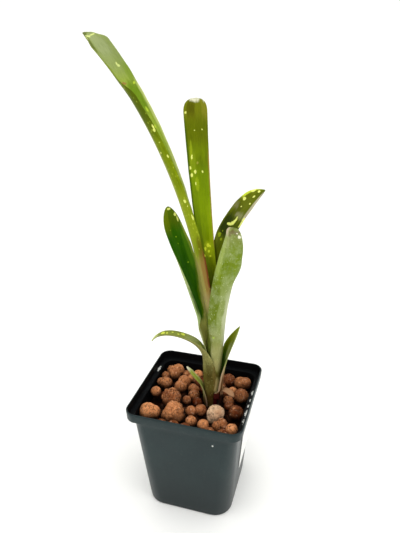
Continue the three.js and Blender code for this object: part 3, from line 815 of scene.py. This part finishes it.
FACES["back_inner"] = dict(
    dark=(66, 78, 0), light=(106, 116, 10), roughness=0.3, sway=0.1, vein=0.5,
    areas=(
        ((92, 100, 12), 0.8, 166, 182, 3), ((74, 80, 4), 0.7, 163, 174, 3, 0.1, 0.7),
        # (40, 52, 0) and (60, 70, 0) darken the blade below its fold: painted shade
        ((40, 52, 0), 0.95, 146, 163, 3, 0.2, 0.92), ((60, 70, 0), 0.7, 152, 163, 3, -1.3, 0.3),
        ((86, 98, 4), 0.8, 100, 146, 4), ((108, 118, 20), 0.7, 138, 148, 3, 0.72, 1.3),
        ((196, 186, 160), 0.7, 164, 186, 3, -1.4, -0.66), ((204, 220, 60), 0.9, 176, 189, 2, 0.78, 1.4),
        ((164, 158, 124), 0.4, 164, 168, 1.6, -0.5, 0.3), ((140, 134, 96), 0.45, 167, 171, 1.6, 0.5, 0.95)),
    spots=(
        (CREAM, 0.95, ((4.3, 176.3, 1.1, 1.2), (-1.6, 176.7, 0.6, 0.6), (0.6, 182, 0.6, 1),
            (2, 171.3, 0.4, 0.5), (1.4, 186.6, 0.8, 1), (4.6, 184.4, 1.2, 1.8))),
        (CREAM, 0.95, ((3.2, 156.2, 1.4, 0.8), (1.9, 157, 1.4, 1), (0.6, 158.2, 1.4, 1.2),
            (-0.2, 159.8, 1, 1.5), (-0.6, 161.8, 0.8, 1.4), (-0.5, 163.4, 0.5, 1),
            (-7.5, 165.6, 1.1, 2), (-8, 162.4, 1.2, 2.4), (-7.6, 160.2, 0.8, 1.4))),
        ((150, 168, 20), 0.8, ((6.9, 146.6, 1.2, 1.6), (4.6, 144, 0.8, 1), (5.4, 150, 0.5, 0.6)))))
FACES["back_outer"] = dict(
    dark=(128, 138, 70), light=(170, 178, 120), roughness=0.5, bands=(PALE_DUST, 0.12, 0.5, 60, 200))
FACES["left_inner"] = dict(
    dark=(30, 82, 0), light=(58, 110, 0), roughness=0.32,
    areas=(
        ((88, 108, 0), 0.85, 155, 180, 5), ((110, 124, 8), 0.6, 150, 180, 5, 0.3, 1.3),
        ((86, 134, 0), 0.7, 120, 152, 5, -1.4, -0.5), ((150, 164, 60), 0.8, 112, 156, 3, -1.4, -0.84),
        ((112, 140, 0), 0.6, 78, 122, 5, -9, -0.2, 1.3), ((186, 182, 96), 0.95, 78, 124, 4, -9, -0.34, 1.3),
        # (188, 188, 92) lightens the inner face low in the clasp: painted light against the shade there
        ((188, 188, 92), 0.95, 20, 79, 4), ((206, 210, 150), 0.7, 55, 80, 4, 0.5, 1.4)),
    spots=(
        (CREAM, 0.95, ((-0.3, 167.4, 1.4, 0.9), (-3.9, 162.4, 0.9, 1.4), (-4.9, 159, 0.6, 2.2))),
        ((150, 186, 40), 0.8, ((-0.1, 146, 0.5, 0.6), (-0.3, 140.6, 0.35, 0.4), (-4.4, 124.6, 0.5, 0.7),
            (3, 152, 0.3, 0.4)))))
FACES["left_outer"] = dict(
    dark=(120, 146, 66), light=(176, 194, 128), roughness=0.5, bands=(PALE_DUST, 0.12, 0.5, 100, 180),
    areas=(
        ((48, 74, 0), 0.9, 84, 108, 9, 0.84, 1.4), ((140, 144, 90), 0.8, 20, 78, 12),
        ((150, 164, 92), 0.5, 106, 150, 6, 0.7, 1.3)))
FACES["front_inner"] = dict(
    dark=(84, 104, 20), light=(120, 138, 40), roughness=0.4)
FACES["front_outer"] = dict(
    dark=(84, 108, 8), light=(114, 134, 30), roughness=0.45, vein=0.7, sway=0.4,
    bands=(PALE_DUST, 0.09, 0.35, 56, 160),
    areas=(
        ((128, 138, 70), 0.7, 146, 170, 5), ((154, 162, 100), 0.7, 142, 170, 5, -1.4, -0.3),
        ((154, 170, 86), 0.8, 122, 150, 6, -1.4, -0.6), ((102, 118, 34), 0.75, 62, 114, 7, -1.4, -0.4),
        # (196, 200, 164) is a painted sheen over the lower half towards the last margin
        ((146, 158, 96), 0.7, 76, 116, 12, -0.4, 1.4), ((196, 200, 164), 0.7, 58, 104, 14, 0, 1.4),
        ((150, 154, 92), 0.7, 50, 76, 8, -1.4, 0.2), ((100, 106, 34), 0.7, 60, 82, 5, -1.4, -0.76),
        ((160, 158, 100), 0.85, 40, 62, 5), ((176, 168, 108), 0.9, 38, 48, 3),
        # (250, 222, 150) is the cream-tan foot, made lighter still as painted light against its shade
        ((120, 104, 44), 0.9, 31, 38, 3), ((250, 222, 150), 0.95, 17, 31, 3),
        ((104, 84, 54), 0.8, 153.8, 156.6, 1.2, -0.5, 0.95),
        ((206, 186, 160), 0.8, 154, 170, 1.5, -1.4, -0.6), (MAROON, 1, -20, 17, 1.5)),
    spots=(
        ((240, 238, 214), 0.95, ((4.1, 151.6, 1, 1.1), (2.4, 154.4, 0.4, 0.4))),
        ((176, 204, 80), 0.7, ((-5.5, 69.8, 0.8, 0.8),))),
    dots=(((196, 206, 150), 0.8, 0.45),))
FACES["low_left_inner"] = dict(
    dark=(138, 146, 84), light=(170, 176, 118), roughness=0.45,
    areas=(
        ((112, 122, 16), 0.75, 69, 96, 5), ((150, 160, 60), 0.7, 40, 60, 5),
        ((188, 200, 110), 0.8, 96, 120, 3)),
    spots=(
        ((208, 218, 84), 0.9, ((-1.6, 90.6, 1.2, 2), (-1.4, 86.6, 0.8, 0.9), (-2.4, 82, 0.6, 0.8),
            (-1.8, 77, 0.5, 0.9), (-3, 73.6, 0.9, 1.6), (-3.2, 56, 1, 1.8))),))
FACES["low_left_outer"] = dict(
    dark=(88, 84, 26), light=(142, 138, 80), roughness=0.5, sway=0.6, vein=0.8, fibre=0.6,
    areas=(
        ((86, 72, 14), 0.75, 14, 39, 4), ((66, 38, 6), 0.9, -20, 18, 4),
        ((126, 118, 70), 0.6, 36, 60, 5, -1.4, 0.1), ((80, 70, 26), 0.7, 30, 47, 4, 0.4, 1.4),
        ((118, 100, 48), 0.6, 16, 44, 5, 0.88, 1.4)),
    dots=(((52, 44, 8), 0.8, 0.7), ((190, 190, 120), 1, 0.6)))
FACES["low_right_inner"] = dict(
    dark=(40, 76, 0), light=(62, 96, 2), roughness=0.38,
    areas=(
        ((122, 134, 16), 0.85, 66, 90, 6), ((104, 110, 8), 0.7, 54, 76, 6),
        ((150, 158, 96), 0.8, 46, 62, 5, -0.3, 0.3), ((176, 190, 110), 0.8, 30, 90, 4, -1.4, -0.86),
        ((150, 166, 60), 0.6, 50, 90, 4, 0.8, 1.4)))
FACES["low_right_outer"] = dict(
    dark=(122, 132, 62), light=(160, 162, 100), roughness=0.5,
    areas=(
        ((156, 128, 90), 0.95, -20, 40, 5), ((84, 44, 14), 0.9, 12, 34, 4, -0.74, -0.3),
        ((196, 164, 132), 0.8, 16, 46, 3, -1.4, -0.82), (MAROON, 0.95, -20, 13.6, 0.8)))
FACES["stub_inner"] = dict(
    dark=(132, 146, 26), light=(170, 182, 66), roughness=0.45,
    areas=(
        ((222, 214, 190), 0.9, 40.5, 60, 2), ((196, 200, 140), 0.8, 16, 60, 3, -1.4, -0.6),
        ((176, 182, 100), 0.7, 16, 28, 4)))
FACES["stub_outer"] = dict(
    dark=(136, 142, 74), light=(176, 178, 116), roughness=0.5,
    areas=(
        ((222, 214, 190), 0.9, 41, 60, 2), ((66, 44, 20), 0.95, -20, 14, 4),
        ((172, 136, 116), 0.6, -20, 22, 4, 0.8, 1.4)))
FACES["dry_inner"] = dict(
    dark=(112, 76, 46), light=(160, 120, 88), roughness=0.7, vein=0.9, relief=0.2,
    areas=(((40, 16, 12), 0.97, -20, 16, 1.5),))


def make_leaves():
    looks = {name: leaf_look(name, **face) for name, face in FACES.items()}
    for name, leaf in LEAVES.items():
        inner = looks[leaf["look"] + "_inner"]
        make_leaf(name, leaf, [inner, looks.get(leaf["look"] + "_outer", inner)])


# Stem foot with roots

def stem_look():
    look = Look("stem_fibre", Roughness=0.75)
    fibre = look.noise(look.scale(look.millimetres(), (1, 1, 0.25)), 0.9, 5)
    look.set(Base_Color=look.blend(look.ramp(fibre, 0.35, 0.7), srgb(52, 22, 16), srgb(128, 92, 62)))
    look.bump(fibre, 0.25)
    return look.material


def tube(path, radii):
    """A closed round tube along a path."""
    path = np.array(path)
    side = np.array([1, 0.3, 0.2])
    rings = []
    for p, t, r in zip(path, np.gradient(path, axis=0), radii):
        t = t / np.linalg.norm(t)
        a = side - t * (side @ t)
        a /= np.linalg.norm(a)
        b = np.cross(t, a)
        rings.append([p + r * (math.cos(w) * a + math.sin(w) * b) for w in turns(TUBE_SIDES)])
    return stacked(rings)


def catmull(points, count):
    """Points along a smooth curve through points."""
    pts = [np.array(p, dtype=float) for p in points]
    pts = [2 * pts[0] - pts[1], *pts, 2 * pts[-1] - pts[-2]]
    out = []
    for k in range(count + 1):
        t = k / count * (len(pts) - 3)
        i = min(int(t), len(pts) - 4)
        t -= i
        a, b, c, d = pts[i:i + 4]
        rise = 2 * a - 5 * b + 4 * c - d
        out.append(0.5 * (2 * b + (c - a) * t + rise * t ** 2 + (3 * b - a - 3 * c + d) * t ** 3))
    return out


def make_stem():
    top = SHEATH_FOOT - 0.3
    profile = catmull([(0.4, 57), (2.4, 58.5), (4.4, 63), (5.7, 69), (6.1, 72.2), (5.7, top)], 36)
    profile += [(1.25, top + 0.01), (0.9, top + 7), (0.25, top + 8.4)]
    rings = []
    for r, z in profile:
        ring = []
        for w in turns(STEM_SIDES):
            knob = 0.05 * noise.noise(Vector((3 * math.cos(w), 3 * math.sin(w), z * 0.5)))
            wide = r * min(1 + knob, 1.03)
            ring.append((wide * math.cos(w), wide * math.sin(w), z))
        rings.append(ring)
    body = stacked(rings)
    draw = draws(ROOT_SEED)
    for k in range(ROOTS):
        a = 2 * math.pi * (k + 0.3 * draw()) / ROOTS
        reach = 3 + 2.2 * draw()
        depth = 31 + 16 * draw()
        bow = 0.6 + 0.8 * draw()
        bends = ((1.8, a, 62), (reach, a + 0.2 * bow, 54), (reach, a - 0.25 * bow, 46),
                 (0.9 * reach, a, min(depth, 42)))
        path = catmull([(r * math.cos(w), r * math.sin(w), z) for r, w, z in bends], ROOT_STEPS)
        add_body(body, tube(path, np.linspace(0.7, 0.35, ROOT_STEPS + 1)))
    shift = axis_at(SHEATH_FOOT) * (1, 1, 0)
    stem = new_piece("stem_foot", [v + shift for v in body[0]], body[1], materials=[stem_look()])
    turn_out(stem)
    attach(stem, "root")
    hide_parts("stem_with_roots")


# Clay pebbles: x, y, height of the centre, radius, tone from 0 dark to 1 light, crumple, and any lobes.
# A lobe is an offset to the viewer's right, back and up, and a size, all in radii.
PEBBLES = {
    "back_left_double": (-29, 30, 84.4, 7.3, 0.7, 0.7,
        (-0.12, -0.42, 0.05, 0.72), (0.3, 0.3, 0.1, 0.72), (-0.45, 0.3, 0, 0.6)),
    "left_behind": (-33, 12, 85, 5.8, 0.55, 0.6, (0.25, 0, 0, 0.9), (-0.55, 0.05, 0.25, 0.55)),
    "left_small": (-34.6, -2.8, 86.5, 4.3, 0.65, 0.4),
    "egg": (-18, 15, 84, 6.8, 0.6, 0.15, (0.25, 0.35, 0.25, 0.75), (-0.2, -0.35, -0.05, 0.8)),
    "long_by_stem": (-5, 7.6, 83.2, 5.6, 0.45, 0.1, (0.1, 0.45, 0.35, 0.62), (-0.1, -0.3, -0.1, 0.85)),
    "crater": (-20, -5.6, 84.8, 7.8, 0.4, 1),
    "lumpy_pink": (-13.6, -21.5, 85, 8.4, 0.75, 1,
        (0.1, 0.1, 0.1, 0.9), (-0.4, -0.2, -0.15, 0.65), (0.45, -0.25, -0.2, 0.6)),
    "orange": (-32, -24, 84, 6.7, 1, 0.15, (-0.22, 0, 0.05, 1), (0.5, -0.05, 0, 0.8)),
    "front_a": (-1.6, -13.4, 82.3, 4.5, 0.6, 0.3),
    "front_b": (5.7, -10.4, 82.5, 4.8, 0.5, 0.2),
    "front_c": (1.8, -24, 82.2, 4.3, 0.6, 0.1),
    "front_d": (12, -26, 82.4, 4.6, 0.75, 0.2),
    "lumpy_front": (24.6, -23.6, 83.1, 5.4, 0.5, 1,
        (-0.45, -0.1, 0, 0.7), (0.25, 0.2, 0.15, 0.75), (0.5, -0.3, 0, 0.5)),
    "corner": (34, -25, 82.5, 4.7, 0.85, 0.1, (0, 0, 0, 1), (-0.4, 0.2, -0.1, 0.7)),
    "right_front": (33, -6.5, 83.4, 5.9, 0.12, 0.1),
    "right_low": (25.6, 1, 82, 4, 0.1, 0.1),
    "right_round": (32.6, 14, 83.6, 6.2, 0.4, 0.12),
    "back_right": (30.4, 31, 83.6, 6.2, 0.5, 0.15, (-0.3, 0, 0, 0.88), (0.35, 0, 0, 0.82)),
    "back_middle": (18, 32, 83.3, 5.8, 0.2, 0.2),
    "back_small": (-9.8, 34, 82.3, 4.4, 0.9, 0.3),
    "back_low": (-13, 27.6, 82.2, 4.3, 0.6, 0.3),
    "right_small": (24, 21.5, 81.5, 3.4, 0.9, 0.5),
    "left_rim": (-35, 21.6, 85, 3.6, 0.45, 0.5),
}
PALE_PEBBLE = (18.2, -12.6, 84.1, 6.8, 0.6, 0.6, (0, 0, 0, 1), (-0.35, -0.35, -0.35, 0.62))
PLAIN_LOBES = ((0, 0, 0, 1),)


def icosphere(level):
    work = bmesh.new()
    bmesh.ops.create_icosphere(work, subdivisions=level, radius=1)
    verts = np.array([v.co[:] for v in work.verts])
    faces = [tuple(v.index for v in f.verts) for f in work.faces]
    work.free()
    return verts, faces


def ridge(place, width):
    """1 along the zero lines of a noise, 0 away from them."""
    return smooth(1 - abs(noise.noise(place)) / width)


def shaped(unit, crumple, lobes, seed):
    """A pebble's points about its centre, for radius 1: a union of round lobes, roughened."""
    cos, sin = math.cos(VIEW_TURN), math.sin(VIEW_TURN)
    centres = [(Vector((a * cos - b * sin, a * sin + b * cos, c)), size) for a, b, c, size in lobes]
    away = Vector((seed * 1.7, seed * 0.9, seed * 2.3))
    out = []
    for v in unit:
        d = Vector(v)
        total = 0
        for centre, size in centres:
            side = d.dot(centre)
            inside = max(size * size - centre.length_squared + side * side, 0)
            total += math.exp(LOBE_JOIN * (side + math.sqrt(inside)))
        r = math.log(total) / LOBE_JOIN
        for height, pitch in ((0.07, 1.4), (0.035, 3.3), (0.016, 8)):
            r += height * noise.noise(d * pitch + away)
        r += crumple * (0.10 * noise.noise(d * 2.6 - away) + 0.09 * noise.noise(d * 4.6 - away))
        r -= crumple * (0.13 * ridge(d * 2 - away, 0.10) + 0.08 * ridge(d * 4.2 + away, 0.14))
        out.append(d * r)
    return np.array(out)


# The crater is a dome with a cracked top behind a folded shell
CRATER_FACE = Vector((0.1, -0.42, 0.9)).normalized()
SHELL_SIDE = Vector((-0.75, 0.65, 0)).normalized()


def folded(unit, points):
    """Adds the crater's shell, groove and ring crack."""
    out = []
    for v, p in zip(unit, points):
        d = Vector(v)
        turn = math.acos(max(-1, min(1, d.dot(CRATER_FACE))))
        flat = (d - d.dot(CRATER_FACE) * CRATER_FACE).normalized()
        shell = smooth((flat.dot(SHELL_SIDE) + 0.35) / 0.6)
        k = 1
        for height, at, width in ((0.17 * shell, 1, 0.14), (-0.16 * (0.35 + 0.65 * shell), 0.74, 0.10),
                                  (-0.07, 0.34, 0.06)):
            k += height * math.exp(-((turn - at) / width) ** 2)
        out.append(p * k)
    return np.array(out)


def hole_radius(z):
    """Radius of the plain hole that the stem stands in."""
    return mix(HOLE_RADIUS, HOLE_MOUTH, clamp01((z - SHEATH_FOOT + 1) / (BED_LEVEL + 4 - SHEATH_FOOT)))


def keep_inside(points, fence):
    """Keeps pebble points off the pot, the stem's hole and the low leaves."""
    for p in points:
        level = BAND_FOOT if p[2] > LEDGE_TOP - 0.3 else p[2]
        limit = inner_side(level) / 2 - WALL_GAP
        radius = body_radius(p[2]) - BODY_WALL - WALL_GAP
        p[:2] = np.clip(p[:2], -limit, limit)
        corner = np.abs(p[:2]) - (limit - radius)
        reach = math.hypot(*corner)
        if min(corner) > 0 and reach > radius:
            p[:2] = np.copysign(limit - radius + corner * radius / reach, p[:2])
        away = p[:2] - AXIS
        widen = hole_radius(p[2]) / math.hypot(*away)
        if widen > 1:
            p[:2] = AXIS + away * widen
    near = np.linalg.norm(points[:, None, :] - fence[None, :, :], axis=2)
    for i in np.nonzero(near.min(1) < LEAF_GAP)[0]:
        post = fence[near[i].argmin()]
        push = points[i] - post
        push[2] = min(push[2], 0)
        points[i] = post + push * LEAF_GAP / max(np.linalg.norm(push), 1e-6)
    return points


def leaf_fence():
    """Points on the low leaves that lean over the pebbles."""
    out = []
    for name in ("leaf_stub_left", "dry_scale"):
        arcs, _ = cross_arcs(LEAVES[name], 60)
        for point, inward, lateral, bow, halves, _ in arcs:
            for th in np.linspace(-halves[0], halves[0], 15):
                out.append(point + bow * ((1 - math.cos(th)) * inward + math.sin(th) * lateral))
    return np.array(out)


def fill_places(taken, draw):
    """Places between the named pebbles, on a staggered grid."""
    places = []
    rows = math.ceil(BODY_TOP_SIDE / PEBBLE_SPACING)
    for j in range(-rows, rows + 1):
        for i in range(-rows, rows + 1):
            radius = FILL_RADIUS * (0.82 + 0.3 * draw())
            x = (i + (0.5 if j % 2 else 0)) * PEBBLE_SPACING + 1.6 * (draw() - 0.5)
            y = j * PEBBLE_SPACING * 0.87 + 1.6 * (draw() - 0.5)
            limit = inner_side(BED_LEVEL + 0.55 * radius) / 2 - radius - WALL_GAP
            if max(abs(x), abs(y)) > limit:
                continue
            if math.hypot(x - AXIS[0], y - AXIS[1]) < HOLE_MOUTH + radius * 0.55:
                continue
            if any(math.hypot(x - p[0], y - p[1]) <= 0.8 * (p[3] + radius) for p in taken):
                continue
            place = (x, y, BED_LEVEL + 0.55 * radius, radius)
            taken.append(place)
            places.append(place)
    return places


def under_places():
    """Places of the buried pebbles, which show only through the gaps."""
    draw = draws(UNDER_SEED)
    places = []
    for j in range(-4, 5):
        for i in range(-4, 5):
            radius = 4.4 + 0.8 * draw()
            x = UNDER_SPACING * i + 2 * draw()
            y = UNDER_SPACING * j + 2 * draw()
            limit = inner_side(BED_LEVEL) / 2 - radius - WALL_GAP
            away = math.hypot(x - AXIS[0], y - AXIS[1])
            if max(abs(x), abs(y)) <= limit and away >= HOLE_RADIUS + radius * 0.8:
                places.append((x, y, BED_LEVEL - UNDER_DEPTH, radius))
    return places


def clay_look(name, dark, light, dust):
    look = Look(name, Roughness=0.42, Specular_IOR_Level=0.18, Specular_Tint=(1, 0.7, 0.5, 1))
    place = look.millimetres()
    broad = look.noise(place, 0.16, 3)
    fine = look.noise(place, 1.3, 5, 0.65)
    tone = broad * 0.6 + fine * 0.4 + (look.value_of("tint") - 0.5) * 0.45
    base = look.blend(look.ramp(tone, 0.25, 0.75), dark, light)
    # Pale chalky patches, partly real chalk and partly a painted highlight on the clay
    chalk_and_highlight = look.ramp(look.noise(place, 0.5, 5, 0.7), 0.55, 0.7)
    base = look.blend(chalk_and_highlight * 0.6, base, dust)
    deep = [c * 0.1 for c in dark]
    distance, chance = look.cells(place, 0.9)
    pit = look.ramp(distance, 0.3, 0.12) * look.ramp(look.split(chance)[0], 0.5, 0.6)
    base = look.blend(pit * 0.6, base, deep)
    vein = look.math("ABSOLUTE", look.noise(place, 0.34, 3, 0.6) - 0.5)
    crack = look.ramp(vein, 0.03, 0.008) * look.ramp(broad, 0.42, 0.54)
    base = look.blend(crack * 0.85, base, deep)
    # Painted shade: the attribute darkens pebble undersides and the low pebbles almost to black
    look.set(Base_Color=look.blend(look.value_of("sunk_shade") * 0.98, base, deep))
    look.bump(fine * 0.9 + look.noise(place, 4.5, 3) * 0.6 - (pit + crack) * 0.9, 0.45)
    return look.material


def make_pebbles():
    fence = leaf_fence()
    clay = clay_look("clay", srgb(90, 34, 2), srgb(226, 150, 96), srgb(246, 204, 174))

    def gather(name, places, level, core=None):
        unit, sides = icosphere(level)
        body = ([], [])
        tints = []
        sunk_shade = []
        for n, place in enumerate(places):
            x, y, z, radius = place[:4]
            seed = int(abs(x * 31 + y * 57)) + 3 * n + 5
            tone, crumple, *lobes = place[4:] or (0.45 * (seed % 17) / 17, 0.3)
            points = shaped(unit, crumple, lobes or PLAIN_LOBES, seed)
            if place == PEBBLES["crater"]:
                points = folded(unit, points)
            points = keep_inside(points * radius + np.array([x, y, z]), fence)
            add_body(body, (points, sides))
            tints += [tone] * len(points)
            for p in points:
                # Painted shade under each pebble and low in the bed
                under = 1 - smooth((p[2] - (z - 0.5 * radius)) / (1.35 * radius))
                sunk_shade.append(max(under, smooth((SHADE_TOP_LEVEL - p[2]) / SHADE_FADE)))
        if core:
            add_body(body, core)
            tints += [0.2] * len(core[0])
            # The hidden core is painted in full shade
            sunk_shade += [1] * len(core[0])
        piece = new_piece(name, *body, materials=[clay])
        point_values(piece, "tint", tints)
        point_values(piece, "sunk_shade", sunk_shade)
        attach(piece, "root")
        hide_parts("clay_pebble_bed")

    named = list(PEBBLES.values())
    gather("pebbles_on_top", named, 4)
    cut = BODY_WALL + WALL_GAP
    levels = np.linspace(1.8, BED_LEVEL - 1.2, 12)
    core = stacked([rounded_square(body_side(z) - 2 * cut, body_radius(z) - cut, z) for z in levels])
    fill = fill_places([*named, PALE_PEBBLE], draws(FILL_SEED))
    gather("pebbles_between", fill + under_places(), 3, core)

    pale = clay_look("pale_clay", srgb(176, 128, 92), srgb(232, 196, 158), srgb(240, 216, 188))
    x, y, z, radius, tone, crumple, *lobes = PALE_PEBBLE
    unit, sides = icosphere(5)
    points = keep_inside(shaped(unit, crumple, lobes, PALE_SEED) * radius + np.array([x, y, z]), fence)
    piece = new_piece("pale_pebble", points, sides, materials=[pale])
    point_values(piece, "tint", [tone] * len(points))
    # Painted shade over the lower part of the pale pebble
    point_values(piece, "sunk_shade", [1 - smooth((p[2] - (z - 0.9 * radius)) / radius) for p in points])
    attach(piece, "root")
    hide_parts("pale_clay_pebble")


# Floor, light and camera

FLOOR_FRONT = -1500
FLOOR_BACK = 900
SWEEP_RADIUS = 600
SWEEP_TOP = 2400
FLOOR_HALF = 2500
FLOOR_DROP = 0.2


def make_stage():
    look = Look("floor_white", Roughness=0.9)
    tone = look.noise(look.millimetres(), 0.01, 2)
    look.set(Base_Color=look.blend(tone, srgb(249, 249, 246), srgb(253, 253, 251)))
    profile = [(FLOOR_FRONT, 0)]
    for a in np.linspace(0, math.pi / 2, 13):
        profile.append((FLOOR_BACK + SWEEP_RADIUS * math.sin(a), SWEEP_RADIUS * (1 - math.cos(a))))
    profile.append((FLOOR_BACK + SWEEP_RADIUS, SWEEP_TOP))
    verts = [(x, y, z - FLOOR_DROP) for y, z in profile for x in (-FLOOR_HALF, FLOOR_HALF)]
    faces = [(a, a + 1, a + 3, a + 2) for a in range(0, 2 * len(profile) - 2, 2)]
    floor = new_piece("sweep", verts, faces, materials=[look.material])
    floor.rotation_euler = (0, 0, VIEW_TURN)


def area_light(name, place, target, size, power):
    data = bpy.data.lights.new(name, "AREA")
    data.shape = "RECTANGLE"
    data.size, data.size_y = size
    data.energy = power
    light = bpy.data.objects.new(name, data)
    light.location = place
    light.rotation_euler = (Vector(target) - Vector(place)).to_track_quat("-Z", "Y").to_euler()
    bpy.context.scene.collection.objects.link(light)


def make_light():
    world = bpy.data.worlds.new("studio")
    world.use_nodes = True
    sky = world.node_tree.nodes["Background"].inputs
    sky["Color"].default_value = (1, 1, 0.99, 1)
    sky["Strength"].default_value = 0.82
    bpy.context.scene.world = world
    bpy.context.scene.view_settings.view_transform = "Standard"
    area_light("top", (0.05, -0.1, 1.3), (0, 0, 0.1), (1.6, 1.6), 9.5)
    area_light("left", (-1, -0.6, 0.7), (0, 0, 0.15), (0.8, 1), 2.6)
    area_light("right", (1, -0.3, 0.6), (0, 0, 0.12), (0.7, 1), 2.6)


# The camera, solved from the rim, band and foot of the pot
CAMERA_PLACE = (0.09516, -0.31163, 0.34430)
CAMERA_YAW = -16.55
CAMERA_PITCH = -23.74
CAMERA_ROLL = -0.33
FOCAL_PIXELS = 500.54
FRAME_HEIGHT = 533
SENSOR = 36


def make_camera():
    data = bpy.data.cameras.new("camera")
    data.sensor_width = SENSOR
    data.lens = FOCAL_PIXELS * SENSOR / FRAME_HEIGHT
    data.clip_start = 0.01
    data.clip_end = 20
    camera = bpy.data.objects.new("camera", data)
    level = Euler((math.radians(90 + CAMERA_PITCH), 0, math.radians(-CAMERA_YAW)), "XYZ").to_matrix()
    camera.rotation_euler = (level @ Matrix.Rotation(math.radians(CAMERA_ROLL), 3, "Z")).to_euler()
    camera.location = CAMERA_PLACE
    bpy.context.scene.collection.objects.link(camera)
    bpy.context.scene.camera = camera


make_camera()
make_stage()
make_light()
make_pot()
make_label()
make_pebbles()
make_stem()
make_leaves()
